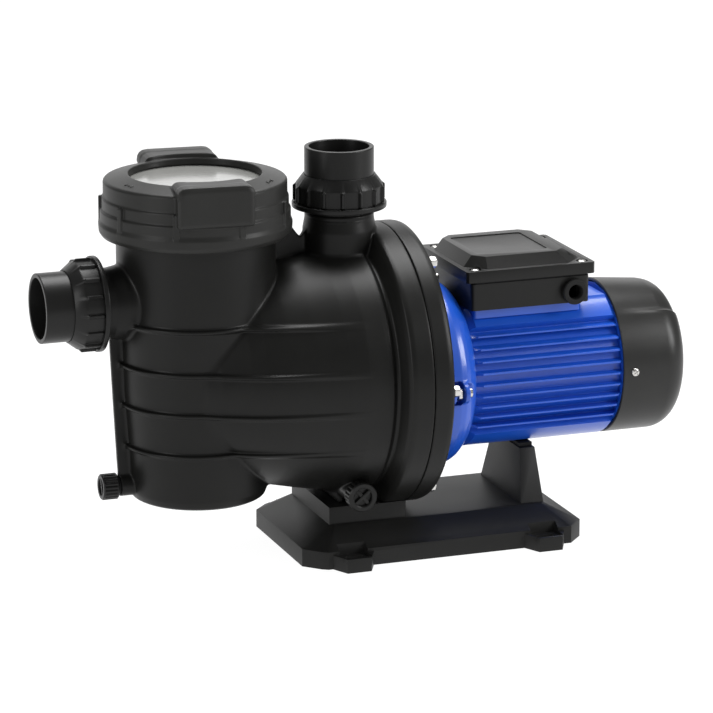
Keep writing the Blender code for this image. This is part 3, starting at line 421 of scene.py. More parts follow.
def carve(mesh, steps, bevel=0.0, segments=3, angle=35):
    """Applies (operation, mesh) Booleans in order, then rounds the edges."""
    obj = placed("work", mesh)
    tools = []
    for operation, tool_mesh in steps:
        tools.append(placed("tool", tool_mesh))
        boolean = obj.modifiers.new("cut", "BOOLEAN")
        boolean.operation = operation
        boolean.solver = "EXACT"
        boolean.object = tools[-1]
    made = applied(obj)
    bm = bmesh.new()
    bm.from_mesh(made)
    bmesh.ops.remove_doubles(bm, verts=bm.verts, dist=1e-5)
    bmesh.ops.dissolve_limit(bm, angle_limit=radians(1), verts=bm.verts, edges=bm.edges)
    bm.to_mesh(made)
    bm.free()
    if bevel:
        obj.modifiers.clear()
        obj.data = made
        rounding = obj.modifiers.new("round", "BEVEL")
        rounding.width = bevel
        rounding.segments = segments
        rounding.limit_method = "ANGLE"
        rounding.angle_limit = radians(28)
        rounding.use_clamp_overlap = True
        made = applied(obj)
    for item in tools + [obj]:
        bpy.data.objects.remove(item, do_unlink=True)
    made.shade_smooth()
    made.set_sharp_from_angle(angle=radians(angle))
    return made


def applied(obj):
    depsgraph = bpy.context.evaluated_depsgraph_get()
    return bpy.data.meshes.new_from_object(obj.evaluated_get(depsgraph))


def arc(centre, radius, start, end, count):
    angles = [radians(start + (end - start) * i / (count - 1)) for i in range(count)]
    return [(centre[0] + radius * cos(a), centre[1] + radius * sin(a)) for a in angles]


def rounded_rectangle(x0, x1, y0, y1, radius, count=8):
    corners = ((x1 - radius, y1 - radius, 0), (x0 + radius, y1 - radius, 90),
               (x0 + radius, y0 + radius, 180), (x1 - radius, y0 + radius, 270))
    return [p for x, y, a in corners for p in arc((x, y), radius, a, a + 90, count)]


def turned_rod(radius, low, high, at=(0, 0, 0), axis="+Z", steps=48):
    return revolve([(0, high), (radius, high), (radius, low), (0, low)], at, axis, steps)


# ---------------------------------------------------------------- materials
def node(tree, kind, **inputs):
    """A shader node with values for the inputs named, an underscore standing for a space."""
    made = tree.nodes.new(kind)
    for key, value in inputs.items():
        made.inputs[key.replace("_", " ")].default_value = value
    return made


def finish(name, colour, roughness, metallic=0, grain=1800, bump=0.06, mottle=0.12, spread=0.06,
           coat=0, transmission=0, streak=None, specular=0.5):
    """A Principled finish whose colour, roughness and relief vary with procedural noise."""
    material = bpy.data.materials.new(name)
    material.use_nodes = True
    tree = material.node_tree
    shader = tree.nodes["Principled BSDF"]
    place = tree.nodes.new("ShaderNodeTexCoord")
    link = tree.links.new
    source = place.outputs["Object"]
    if streak:
        squeeze = node(tree, "ShaderNodeMapping", Scale=streak)
        link(source, squeeze.inputs["Vector"])
        source = squeeze.outputs["Vector"]
    broad = node(tree, "ShaderNodeTexNoise", Scale=38.0, Detail=5.0, Roughness=0.6)
    fine = node(tree, "ShaderNodeTexNoise", Scale=grain, Detail=3.0, Roughness=0.55)
    link(source, broad.inputs["Vector"])
    link(source, fine.inputs["Vector"])
    tint = node(tree, "ShaderNodeMapRange", From_Min=0.25, From_Max=0.75, To_Min=1 - mottle, To_Max=1 + mottle)
    link(broad.outputs["Fac"], tint.inputs["Value"])
    paint = tree.nodes.new("ShaderNodeVectorMath")
    paint.operation = "SCALE"
    paint.inputs[0].default_value = colour
    link(tint.outputs["Result"], paint.inputs["Scale"])
    link(paint.outputs["Vector"], shader.inputs["Base Color"])
    gloss = node(tree, "ShaderNodeMapRange", To_Min=roughness - spread, To_Max=roughness + spread)
    mix = tree.nodes.new("ShaderNodeMath")
    mix.operation = "ADD"
    link(broad.outputs["Fac"], mix.inputs[0])
    link(fine.outputs["Fac"], mix.inputs[1])
    half = tree.nodes.new("ShaderNodeMath")
    half.operation = "MULTIPLY"
    half.inputs[1].default_value = 0.5
    link(mix.outputs["Value"], half.inputs[0])
    link(half.outputs["Value"], gloss.inputs["Value"])
    link(gloss.outputs["Result"], shader.inputs["Roughness"])
    if bump:
        relief = node(tree, "ShaderNodeBump", Strength=bump, Distance=0.0004)
        link(fine.outputs["Fac"], relief.inputs["Height"])
        link(relief.outputs["Normal"], shader.inputs["Normal"])
    for name, value in (("Metallic", metallic), ("Coat Weight", coat), ("Coat Roughness", 0.12),
                        ("Transmission Weight", transmission), ("Specular IOR Level", specular)):
        shader.inputs[name].default_value = value
    material.diffuse_color = (*colour, 1.0)
    return material


FINISHES = {
    "casing_black": finish("casing_plastic", (0.0075, 0.0075, 0.0070), 0.38, 0, 1500, 0.10, specular=0.20),
    "ring_black": finish("ring_plastic", (0.0170, 0.0170, 0.0160), 0.42, 0, 1600, 0.10, specular=0.24),
    "nut_black": finish("nut_plastic", (0.0085, 0.0085, 0.0082), 0.34, 0, 1900, 0.07, specular=0.24),
    "seal_rubber": finish("seal_rubber", (0.0140, 0.0140, 0.0140), 0.78, 0, 2600, 0.12, specular=0.20),
    "clear_window": finish("window_plastic", (0.34, 0.34, 0.325), 0.22, grain=900, bump=0.02, mottle=0.02,
                           spread=0.03, coat=0.5, transmission=0.25),
    "basket_white": finish("basket_plastic", (0.70, 0.70, 0.66), 0.45, grain=1500, bump=0.05, mottle=0.04),
    "impeller_plastic": finish("impeller_plastic", (0.55, 0.54, 0.50), 0.45, mottle=0.05),
    "carbon": finish("carbon_ring", (0.030, 0.030, 0.032), 0.34, metallic=0.2),
    "stainless": finish("stainless_steel", (0.62, 0.61, 0.59), 0.24, metallic=1.0, grain=900, bump=0.05,
                        mottle=0.06, streak=(1.0, 1.0, 6.0)),
    "motor_blue": finish("blue_paint", (0.0080, 0.0820, 0.5200), 0.34, grain=420, bump=0.10, mottle=0.05,
                         spread=0.05, coat=0.35),
    "bearing_steel": finish("bearing_steel", (0.56, 0.56, 0.57), 0.22, metallic=1.0, bump=0.03, mottle=0.04),
    "lamination": finish("lamination_steel", (0.22, 0.225, 0.235), 0.45, metallic=0.9, grain=2400, bump=0.15,
                         streak=(8.0, 1.0, 1.0)),
    "copper_winding": finish("winding_copper", (0.50, 0.19, 0.07), 0.38, metallic=0.8, grain=1400, bump=0.5),
    "cover_black": finish("cover_plastic", (0.0180, 0.0180, 0.0173), 0.34, 0, 1300, 0.10, specular=0.30),
    "box_black": finish("box_plastic", (0.0075, 0.0075, 0.0071), 0.36, 0, 1500, 0.12, specular=0.26),
    "brass_block": finish("block_plastic", (0.64, 0.60, 0.48), 0.50, mottle=0.05),
    "capacitor_grey": finish("capacitor_plastic", (0.42, 0.43, 0.44), 0.40, mottle=0.05),
    "base_black": finish("base_plastic", (0.0110, 0.0110, 0.0105), 0.46, 0, 1300, 0.16, specular=0.22),
}

SLOT_OF = {s["node"]: s["material_slot"] for s in frame["record"]["subparts"]}
BODY_OF = {n: body for body, names in frame["record"]["behaviour"]["bodies"].items() for n in names}

for cad_name, cad_object in frame["nodes"].items():
    cad_object.data.materials.clear()
    cad_object.data.materials.append(FINISHES[SLOT_OF[cad_name]])


def show(cad_name, mesh, suffix="_fine", stands_for=True):
    """Adds a piece that takes its body and finish from a CAD node, and by default stands for it."""
    obj = placed(cad_name + suffix, mesh)
    mesh.name = obj.name
    mesh.materials.clear()
    mesh.materials.append(FINISHES[SLOT_OF[cad_name]])
    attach(obj, BODY_OF[cad_name])
    if stands_for:
        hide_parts(cad_name)
    return obj


# ---------------------------------------------------------------- casing
VOLUTE = lathe([(0, -0.1450), (0.0580, -0.1450), (0.0655, -0.1370), (0.0720, -0.1262), (0.0775, -0.1150),
                (0.0833, -0.1030), (0.0885, -0.0900), (0.0935, -0.0710), (0.0980, -0.0500), (0.1025, -0.0260),
                (0.1046, -0.0100), (0.1052, 0.0060), (0.1050, 0.0105), (0.1032, 0.0135), (0.1040, 0.0160),
                (0.1145, 0.0200), (0.1182, 0.0222), (CASING_R, 0.0255), (CASING_R, 0.0411), (0.1070, 0.0411),
                (0.1070, FLANGE_REAR_X), (0, FLANGE_REAR_X)], 0.0007)
POT = lathe([(0, COLLAR_TOP_Z), (COLLAR_R, COLLAR_TOP_Z), (COLLAR_R, 0.2790), (0.0658, 0.2760),
             (0.0658, 0.2200), (0.0640, 0.1500), (0.0612, 0.1100), (0.0588, 0.0750), (0.0580, 0.0620),
             (0.0560, 0.0565), (0.0520, POT_BOTTOM_Z), (0, POT_BOTTOM_Z)], 0.0009)
POT_BORE = lathe([(0, 0.3200), (0.0620, 0.3200), (0.0620, LEDGE_Z), (0.0585, LEDGE_Z), (0.0585, 0.2200),
                  (0.0530, 0.0750), (0.0525, 0.0650), (0.0500, 0.0595), (0, 0.0595)], 0.0006)
CHAMBER = lathe([(0, -0.0480), (0.0780, -0.0480), (0.0950, -0.0150), (CHAMBER_R, 0.0050),
                 (CHAMBER_R, FLANGE_REAR_X + 0.006), (0, FLANGE_REAR_X + 0.006)], 0.0008)
STUB_PROFILE = [(0, -0.0389), (0.0332, -0.0389), (0.0340, -0.0398), (0.0340, -0.0505), (0.0290, -0.0516),
                (0.0290, -0.0600), (0.0307, -0.0690)]
OUTLET_STUB = lathe(STUB_PROFILE + [(0.0307, -0.0960), (0, -0.0960)], 0.0005)
INLET_STUB = lathe(STUB_PROFILE + [(0.0307, -0.0800), (0, -0.0800)], 0.0005)
GUSSET = Section([(-0.1800, 0.0660), (-0.1944, 0.0660), (-0.1959, 0.0901), (-0.1985, 0.1419),
                  (-0.2004, 0.1831), (-0.2010, 0.2050), (-0.1800, 0.2050)], 0.0004)
WEB = Section([(-0.0640, 0.2350), (-0.0200, 0.2450), (-0.0240, 0.2740), (-0.0319, 0.2710), (-0.0350, 0.2678),
               (-0.0380, 0.2710), (-0.0420, 0.2765), (-0.0640, 0.2765)], 0.0006)


def casing_shell(x, y, z):
    volute = VOLUTE(np.hypot(y, z - CASING_Z), x)
    pot = POT(np.hypot(x - POT_X, y), z)
    return smooth_min(volute, pot, 0.0026)


def casing(x, y, z):
    shell = casing_shell(x, y, z)
    body = shell
    fade = np.clip((-0.006 - x) / 0.110, 0, 1)
    depth = -0.0020 + 0.0056 * fade ** 0.6
    for height in RIB_HEIGHTS:
        rib = smooth_max(shell - depth, np.abs(z - height) - 0.0016, 0.0016)
        body = smooth_min(body, rib, 0.0024)
    for stub, u, v, h in ((OUTLET_STUB, x, y, z - OUTLET_TOP_Z),
                          (INLET_STUB, y, z - INLET_Z, INLET_RIM_X - x)):
        r = np.hypot(u, v)
        groove = thread(h, np.arctan2(v, u), 0.0040, 0.0009, -0.0500, -0.0389) * (r > 0.0300)
        body = smooth_min(body, stub(r, h) + groove, 0.0030)
    wall = slab(y, -0.0025, 0.0025)
    pot_drain = np.hypot(y, z - POT_DRAIN_Z)
    drain = np.hypot(x - VOLUTE_DRAIN[0], z - VOLUTE_DRAIN[1])
    screw = np.hypot(x - FOOT_SCREW[0], np.abs(y) - FOOT_SCREW[1])
    foot = (SADDLE_Z + 0.0003, 0.0620)
    feet = [(block(x, y, z, (low, -0.0380, foot[0]), (high, 0.0380, foot[1])), 0.0030)
            for low, high in ((-0.0145, -0.0105), (0.0005, 0.0045))]
    body = blended(body,
                   (smooth_max(GUSSET(x, z), wall, 0.0012), 0.0030),
                   (smooth_max(WEB(x, z), wall, 0.0012), 0.0040),
                   (pin(pot_drain, x, 0.0090, -0.1945, -0.1780), 0.0020),
                   (pin(drain, y, 0.0100, -0.0640, -0.0350), 0.0025),
                   *feet,
                   (pin(screw, z, 0.0062, *foot), 0.0015))

    shaft = np.hypot(y, z - MOTOR_Z)
    collar = np.hypot(x - POT_X, y)
    tube = pin(shaft, x, 0.0280, -0.0600, -0.0140)
    inside = blended(smooth_max(CHAMBER(np.hypot(y, z - CASING_Z), x), -tube, 0.0015),
                     (POT_BORE(collar, z), 0.0010),
                     (pin(shaft, x, 0.0240, -0.0720, 0.0), 0.0010),
                     (pin(np.hypot(x, y), z, 0.0240, 0.2350, 0.3100), 0.0010),
                     (pin(np.hypot(y, z - INLET_Z), x, 0.0240, -0.2300, -0.1720), 0.0010),
                     (pin(pot_drain, x, 0.0055, -0.2000, -0.1700), 0.0005),
                     (pin(drain, y, 0.0055, -0.0700, -0.0200), 0.0005),
                     (pin(screw, z, 0.0024, 0.0400, 0.0565), 0.0003),
                     (pin(casing_bolt_distance(y, z), x, 0.0027, 0.0280, 0.0500), 0.0003))
    turn = np.arctan2(y, x - POT_X)
    body = body + thread(z, turn, 0.0060, 0.0014, 0.2830, COLLAR_TOP_Z) * (collar > 0.064)
    return smooth_max(body, -inside, 0.0008)


show("pump_body", mesh_field(casing, (-0.2230, -0.1195, SADDLE_Z), (FLANGE_REAR_X, 0.1195, 0.3150), PITCH))


# ---------------------------------------------------------------- unions
def rib_wave(count, start, width, height, low, high, base):
    """Radial bars on a turned wall: added to the radius where the profile runs at that wall."""
    def wave(angle, radius, along):
        if not (low < along < high) or radius < base:
            return 0.0
        turn = (angle - start) / (2 * pi / count)
        off = abs(turn - round(turn)) * (2 * pi / count) * radius
        side = min(1.0, max(0.0, (width / 2 + 0.0005 - off) / 0.0010))
        end = min(1.0, (along - low) / 0.0012, (high - along) / 0.0012)
        return height * side * side * (3 - 2 * side) * sqrt(max(end, 0.0))
    return wave


def union(prefix, rim, axis, start):
    tail = fillet([(0.0252, 0.0, 0.0008), (0.0290, 0.0, 0.0009), (0.0290, -0.0313), (0.0336, -0.0313),
                   (0.0336, -0.0353), (0.0240, -0.0353), (0.0240, -0.0290), (0.0252, -0.0290)], 0.0003)
    show(prefix + "_tail", revolve(tail, rim, axis))
    wall = [(0.0364, -0.0325 - 0.0006 * i) for i in range(23)]
    nut = fillet([(0.0294, -0.0234, 0.0003), (0.0303, -0.0234, 0.0006), (0.0361, -0.0311, 0.0012)], 0.0004,
                 closed=False)
    back = [(0.0364, -0.0466), (0.0396, -0.0466, 0.0008), (0.0396, -0.0509, 0.0010), (0.0344, -0.0509, 0.0005),
            (0.0344, -0.0310, 0.0005), (0.0294, -0.0310)]
    nut += wall + fillet(back, 0.0, closed=False)
    wave = rib_wave(NUT_RIBS, start, 0.0026, 0.0023, -0.0464, -0.0322, 0.0362)
    show(prefix + "_nut", revolve(nut, rim, axis, NUT_RIBS * (26), wave))
    seal = fillet([(0.0330, -0.0356), (0.0330, -0.0386), (0.0262, -0.0386), (0.0262, -0.0356)], 0.0008)
    show(prefix + "_seal", revolve(seal, rim, axis))


union("outlet", (0, 0, OUTLET_TOP_Z), "+Z", radians(15))
union("inlet", (INLET_RIM_X, 0, INLET_Z), "-X", radians(4))


# ---------------------------------------------------------------- drain plugs
def drain_plug(prefix, at, axis, boss_end, cap_r, cap_length, turn):
    face = boss_end + 0.0024
    end = face + cap_length
    knurls = 20

    def wave(angle, radius, along):
        if radius < cap_r - 0.0009 or not face + 0.0018 < along < end - 0.0012:
            return 0.0
        return -0.0007 * (0.5 + 0.5 * cos(knurls * angle)) ** 2

    rim = [(cap_r, face + 0.0012 + i * 0.0008) for i in range(int((cap_length - 0.0024) / 0.0008) + 1)]
    profile = [(0, end - 0.0034), (cap_r * 0.60, end - 0.0034), (cap_r * 0.64, end - 0.0006),
               (cap_r * 0.70, end), (cap_r - 0.0010, end), (cap_r, end - 0.0010)] + rim[::-1]
    profile += [(cap_r, face + 0.0006), (cap_r - 0.0006, face), (0.0050, face), (0.0050, face - 0.0160),
                (0, face - 0.0160)]
    cap = revolve(profile, steps=knurls * 10, wave=wave)
    reach = cap_r * 0.63
    bar = boxes(((-reach, -0.0014, end - 0.0038), (reach, 0.0014, end - 0.0006)),
                ((-0.0014, -reach, end - 0.0038), (0.0014, reach, end - 0.0014)))
    bar = carve(bar, [], 0.0004, 2)
    bar.transform(Matrix.Rotation(turn, 4, "Z"))
    plug = merged(cap, bar)
    plug.transform(shift(at) @ TURNS[axis])
    show(prefix + "_drain_plug", plug)
    seal = fillet([(0.0082, face - 0.0003), (0.0082, boss_end + 0.0003), (0.0058, boss_end + 0.0003),
                   (0.0058, face - 0.0003)], 0.0006)
    show(prefix + "_drain_seal", revolve(seal, at, axis, 64))


drain_plug("pot", (0, 0, POT_DRAIN_Z), "-X", 0.1945, 0.0110, 0.0135, radians(20))
drain_plug("volute", (VOLUTE_DRAIN[0], 0, VOLUTE_DRAIN[1]), "-Y", 0.0640, 0.0125, 0.0120, radians(40))

# ---------------------------------------------------------------- lid ring and window
RING = lathe([(0.0548, 0.3286), (0.0556, 0.3291), (0.0742, 0.3246), (0.0757, 0.3230), (0.0758, 0.3108),
              (0.0769, 0.3098), (0.0770, 0.3008), (0.0785, 0.2996), (0.0786, 0.2915), (0.0800, 0.2880),
              (0.0796, 0.2815), (0.0772, 0.2780), (0.0705, 0.2780), (0.0686, 0.2800), (0.0686, 0.3229),
              (0.0548, 0.3231)], 0.00045)
LUG = Section(fillet([(-0.0318, 0.2990, 0.0025), (0.0318, 0.2990, 0.0025), (0.0318, 0.3330, 0.0085),
                      (-0.0318, 0.3330, 0.0085)], 0.0), 0.0005)


def lid_ring(x, y, z):
    u, v = x - POT_X, y
    r = np.hypot(u, v)
    ring = RING(r, z)
    turn = folded(np.arctan2(v, u) - radians(1.1), RING_RIBS)
    low, high = (0.0740, -0.0027, 0.2850), (0.0796, 0.0027, 0.3098)
    rib = block(r * np.cos(turn), r * np.sin(turn), z, low, high, 0.0009)
    ring = smooth_min(ring, rib, 0.0008)
    across = u * cos(LUG_TURN) + v * sin(LUG_TURN)
    outward = np.abs(-u * sin(LUG_TURN) + v * cos(LUG_TURN))
    grip = smooth_max(LUG(across, z), slab(outward, 0.0670, 0.0820), 0.0050)
    grip = smooth_max(grip, 0.0700 - r, 0.0010)
    crown = smooth_max(LUG(across, z), slab(outward, 0.0500, 0.0800), 0.0010)
    crown = smooth_max(smooth_max(crown, 0.3238 - z, 0.0010), 0.0562 - r, 0.0016)
    return smooth_min(ring, smooth_min(grip, crown, 0.0020), 0.0012)


show("lid_ring", mesh_field(lid_ring, (POT_X - 0.081, -0.0845, 0.2780), (POT_X + 0.081, 0.0845, 0.3335),
                            PITCH * 0.72))
WINDOW = [(0, 0.3225), (0.0540, 0.3225, 0.0004), (0.0662, 0.3225, 0.0006), (0.0662, 0.3172, 0.0004),
          (0.0596, 0.3172, 0.0004), (0.0592, 0.3090, 0.0006), (0.0568, 0.3090, 0.0006),
          (0.0566, 0.3165, 0.0006), (0, 0.3165)]
LID_GASKET = [(0.0662, 0.3142), (0.0662, 0.3169), (0.0622, 0.3169), (0.0622, 0.3142)]
show("lid_window", revolve(fillet(WINDOW, 0.0, closed=False), (POT_X, 0, 0)))
show("lid_gasket", revolve(fillet(LID_GASKET, 0.0008), (POT_X, 0, 0)))

# two groups of small raised ticks on the ring, where the lock and unlock marks are
for group, heading in (("left", 199), ("right", 318)):
    ticks = []
    for k, length in enumerate((0.0030, 0.0016, 0.0030)):
        a = radians(heading + 3.4 * (k - 1))
        spot = shift((POT_X, 0, 0)) @ Matrix.Rotation(a, 4, "Z")
        spot = spot @ shift((0.0668, 0, 0.32635)) @ Matrix.Rotation(radians(13.6), 4, "Y")
        tick = carve(boxes(((-length / 2, -0.0007, -0.0006), (length / 2, 0.0007, 0.0006))), [], 0.0002, 2)
        tick.transform(spot)
        ticks.append(tick)
    show("lid_ring", merged(*ticks), "_ticks_" + group, stands_for=False)


# ---------------------------------------------------------------- strainer basket
def basket():
    floor = 0.0900
    shell = fillet([(0, floor), (0.0500, floor, 0.004), (0.0565, LEDGE_Z + 0.0003, 0.0),
                    (0.0610, LEDGE_Z + 0.0003), (0.0610, 0.2705), (0.0543, 0.2705),
                    (0.0478, floor + 0.0022, 0.003), (0, floor + 0.0022)], 0.0005, closed=False)
    mesh = revolve(shell, (POT_X, 0, 0), "+Z", 96)
    mouth = turned_rod(0.0270, 0.1700, 0.1900, (0, 0, INLET_Z), "-X")
    slots = []
    for row in range(6):
        for k in range(20):
            a = 2 * pi * (k + 0.5 * (row % 2)) / 20
            hole = boxes(((0.0440, -0.0030, 0.1000 + 0.0160 * row), (0.0600, 0.0030, 0.1110 + 0.0160 * row)))
            hole.transform(shift((POT_X, 0, 0)) @ Matrix.Rotation(a, 4, "Z"))
            slots.append(hole)
    bar = [(-0.0560, 0.2690), (-0.0560, 0.2990, 0.010), (0.0560, 0.2990, 0.010), (0.0560, 0.2690),
           (0.0530, 0.2690), (0.0515, 0.2955, 0.008), (-0.0515, 0.2955, 0.008), (-0.0530, 0.2690)]
    stand = shift((POT_X, 0, 0)) @ Matrix.Rotation(radians(90), 4, "X")
    return carve(mesh, less(mouth, merged(*slots)) + plus(prism(fillet(bar, 0.0), -0.0040, 0.0040, stand)))


show("strainer_basket", basket())

# ---------------------------------------------------------------- rear bracket and motor bell
PLATE = lathe([(0, 0.0419), (0.1070, 0.0419), (0.1070, 0.0414), (CASING_R, 0.0414), (CASING_R, 0.0540),
               (0.1182, 0.0576), (0.1158, 0.0592), (0.0960, 0.0592), (0.0960, 0.0480), (0, 0.0480)], 0.0005)


def bracket(x, y, z):
    shaft = np.hypot(y, z - MOTOR_Z)
    bolt = bell_bolt_distance(y, z)
    body = blended(PLATE(np.hypot(y, z - CASING_Z), x),
                   (pin(shaft, x, 0.0280, 0.0330, 0.0590), 0.0020),
                   (pin(bolt, x, 0.0078, 0.0450, 0.0590), 0.0010))
    holes = blended(pin(shaft, x, 0.0105, 0.0300, 0.0650),
                    (pin(shaft, x, 0.0175, 0.0300, 0.0420), 0.0003),
                    (pin(bolt, x, 0.0031, 0.0500, 0.0620), 0.0003),
                    (pin(casing_bolt_distance(y, z), x, 0.0027, 0.0380, 0.0620), 0.0003))
    return smooth_max(body, -holes, 0.0006)


show("seal_plate", mesh_field(bracket, (0.0328, -0.1195, 0.0340), (0.0595, 0.1195, 0.2730), PITCH))
GASKET = [(0.1060, 0.0408), (0.1060, 0.0416), (0.1010, 0.0416), (0.1010, 0.0408)]
show("casing_gasket", revolve(GASKET, (0, 0, CASING_Z), "+X"))

BELL = lathe([(0.0660, 0.0596), (0.0800, 0.0596), (0.0800, 0.0800), (0.0790, 0.0850), (0.0768, 0.0890),
              (0.0735, 0.0925), (0.0700, 0.0955), (0.0655, 0.0982), (0.0600, 0.0982), (0.0580, 0.0745),
              (0.0200, 0.0745), (0.0200, 0.0870), (0.0162, 0.0870), (0.0162, 0.0745), (0.0120, 0.0745),
              (0.0120, 0.0700), (0.0660, 0.0690)], 0.0006)


def bell(x, y, z):
    body = BELL(np.hypot(y, z - MOTOR_Z), x)
    bolt = bell_bolt_distance(y, z)
    body = smooth_min(body, pin(bolt, x, 0.0088, 0.0602, 0.0842), 0.0030)
    edge = np.maximum(np.abs(y), np.abs(z - MOTOR_Z))
    other = np.minimum(np.abs(y), np.abs(z - MOTOR_Z))
    pocket = block(x, edge, other, (0.0722, 0.0725, -0.0100), (0.0799, 0.1050, 0.0100), 0.0015)
    body = smooth_max(body, -pocket, 0.0010)
    body = smooth_max(body, -pin(bolt, x, 0.0076, 0.0840, 0.1050), 0.0010)
    return smooth_max(body, -pin(bolt, x, 0.0031, 0.0500, 0.0900), 0.0003)


show("front_bell", mesh_field(bell, (0.0594, -0.0925, MOTOR_Z - 0.0925), (0.0984, 0.0925, MOTOR_Z + 0.0925),
                              PITCH * 0.8))


def hex_head(at, axis, across, height, shank, length):
    """A bolt with a chamfered hexagonal head standing along the axis, and a plain shank behind it."""
    head = revolve([(0, height), (across * 0.80, height), (across, height * 0.78), (across, 0), (0, 0)],
                   steps=6)
    head = carve(head, [], 0.0003, 2)
    rod = revolve([(0, 0.0002), (shank, 0.0002), (shank, -length + 0.0004), (shank - 0.0004, -length),
                   (0, -length)], steps=32)
    made = merged(head, rod)
    made.transform(shift(at) @ TURNS[axis])
    return made


for index in range(CASING_BOLTS):
    a = radians(360 / CASING_BOLTS * index)
    at = (0.0595, CASING_BOLT_R * cos(a), CASING_Z + CASING_BOLT_R * sin(a))
    show("casing_bolt_%d" % (index + 1), hex_head(at, "+X", 0.0050, 0.0060, 0.0022, 0.0290))
for index in range(4):
    a = radians(90 * index)
    y, z = -BELL_BOLT_R * cos(a), MOTOR_Z + BELL_BOLT_R * sin(a)
    bolt = hex_head((0.0754, y, z), "+X", 0.0058, 0.0040, 0.0026, 0.0240)
    shank = revolve([(0, 0.0884), (0.0034, 0.0884), (0.0042, 0.0876), (0.0042, 0.0848), (0.0034, 0.0843),
                     (0.0026, 0.0843), (0.0026, 0.0700), (0, 0.0700)], (0, y, z), "+X", 48)
    show("flange_bolt_%d" % (index + 1), merged(bolt, shank))


# ---------------------------------------------------------------- motor
def fin_outline():
    """Closed cross-section of the finned housing in (y, z), with round fin tips and filleted roots."""
    side = []
    for i in range(FINS):
        z = (i - FINS // 2) * 0.0098
        tip = sqrt(0.0663 ** 2 - z ** 2)
        for edge in (-0.0011, 0.0011):
            root = sqrt(0.0590 ** 2 - (z + edge) ** 2)
            foot = (root, z + edge * 1.4, 0.0008)
            crest = (tip, z + edge * 0.75, 0.0005)
            side += [foot, crest] if edge < 0 else [crest, foot]
    end = degrees(asin(0.0463 / MOTOR_R))
    low = [(0.0185, -0.0642, 0.001)] + [(*p, 0.0) for p in arc((0, 0), MOTOR_R, -68, -end - 0.5, 8)]
    high = [(*p, 0.0) for p in arc((0, 0), MOTOR_R, end + 0.5, 62, 8)] + [(0.0300, 0.0608, 0.001)]
    right = low + side + high
    left = [(-y, z, r) for y, z, r in right[::-1]]
    return fillet(right + left, 0.0, 5)


def motor_housing():
    x0, x1 = HOUSING_X
    outline = fin_outline()
    stations = [(x0, 0.0608), (x0 + 0.0004, 0.0612), (x0 + 0.0060, 0.0680), (x1 - 0.0030, 0.0680),
                (x1 - 0.0004, 0.0635), (x1, 0.0630)]
    bm = bmesh.new()
    loops = []
    for x, limit in stations:
        ring = []
        for y, z in outline:
            r = hypot(y, z)
            s = min(1.0, limit / r)
            ring.append(bm.verts.new((x, y * s, MOTOR_Z + z * s)))
        loops.append(ring)
    count = len(outline)
    for low, high in zip(loops, loops[1:]):
        for i in range(count):
            j = (i + 1) % count
            bm.faces.new((low[i], low[j], high[j], high[i]))
    bore = 96
    inner = []
    for x in HOUSING_X:
        turns = [2 * pi * i / bore for i in range(bore)]
        inner.append([bm.verts.new((x, HOUSING_BORE_R * cos(a), MOTOR_Z + HOUSING_BORE_R * sin(a)))
                      for a in turns])
    for i in range(bore):
        j = (i + 1) % bore
        bm.faces.new((inner[0][i], inner[1][i], inner[1][j], inner[0][j]))
    bm.edges.ensure_lookup_table()
    for ring, hole in ((loops[0], inner[0]), (loops[-1], inner[1])):
        edges = []
        for loop in (ring, hole):
            for i in range(len(loop)):
                a, b = loop[i], loop[(i + 1) % len(loop)]
                edge = bm.edges.get((a, b)) or bm.edges.new((a, b))
                edges.append(edge)
        bmesh.ops.triangle_fill(bm, edges=edges, use_beauty=True)
    bmesh.ops.recalc_face_normals(bm, faces=bm.faces)
    housing = to_mesh(bm, 40)
    pad = prism(rounded_rectangle(0.1040, 0.2010, -0.0440, 0.0440, 0.003), 0.1950, BOX_Z[0] - 0.0003)
    pad = carve(pad, less(turned_rod(0.0560, 0.0900, 0.2400, (0, 0, MOTOR_Z), "+X", 96)))
    wire = turned_rod(0.0110, 0.1900, 0.2100, (WIRE_X, 0, 0))
    return carve(housing, plus(pad) + less(wire), angle=32)


show("motor_housing", motor_housing())


def cover_profile():
    outer = [(MOTOR_R - 0.0006, 0.2325), (MOTOR_R, 0.2331)]
    for k in range(5):
        outer.append((MOTOR_R, 0.2360 + 0.0095 * k))
    bend = [(0.0480 + 0.0188 * cos(t), 0.2740 + 0.0200 * sin(t))
            for t in [radians(4.5 * i) for i in range(1, 20)]]
    back = [(0.0480 + 0.0166 * cos(t), 0.2740 + 0.0178 * sin(t))
            for t in [radians(9 * i) for i in range(10, -1, -1)]]
    dome = [(0.0480 * (1 - k / 6), 0.2940 + 0.0036 * sin(pi / 2 * k / 6)) for k in range(6)]
    dome.append((0, 0.2976))
    hollow = [(0, 0.2954)] + [(r, h - 0.0022) for r, h in dome[-2:0:-1]]
    return hollow + back + [(0.0646, 0.2325)] + outer + bend + dome


def flat_top(angle, radius, along):
    """The cover is a little flatter over its top, more so towards the rear."""
    off = abs(angle - pi)
    amount = min(1.0, max(0.0, (radians(46) - off) / radians(5)))
    drop = 0.062 * min(1.0, max(0.0, (along - 0.2335) / 0.0450))
    return -radius * drop * amount * amount * (3 - 2 * amount)


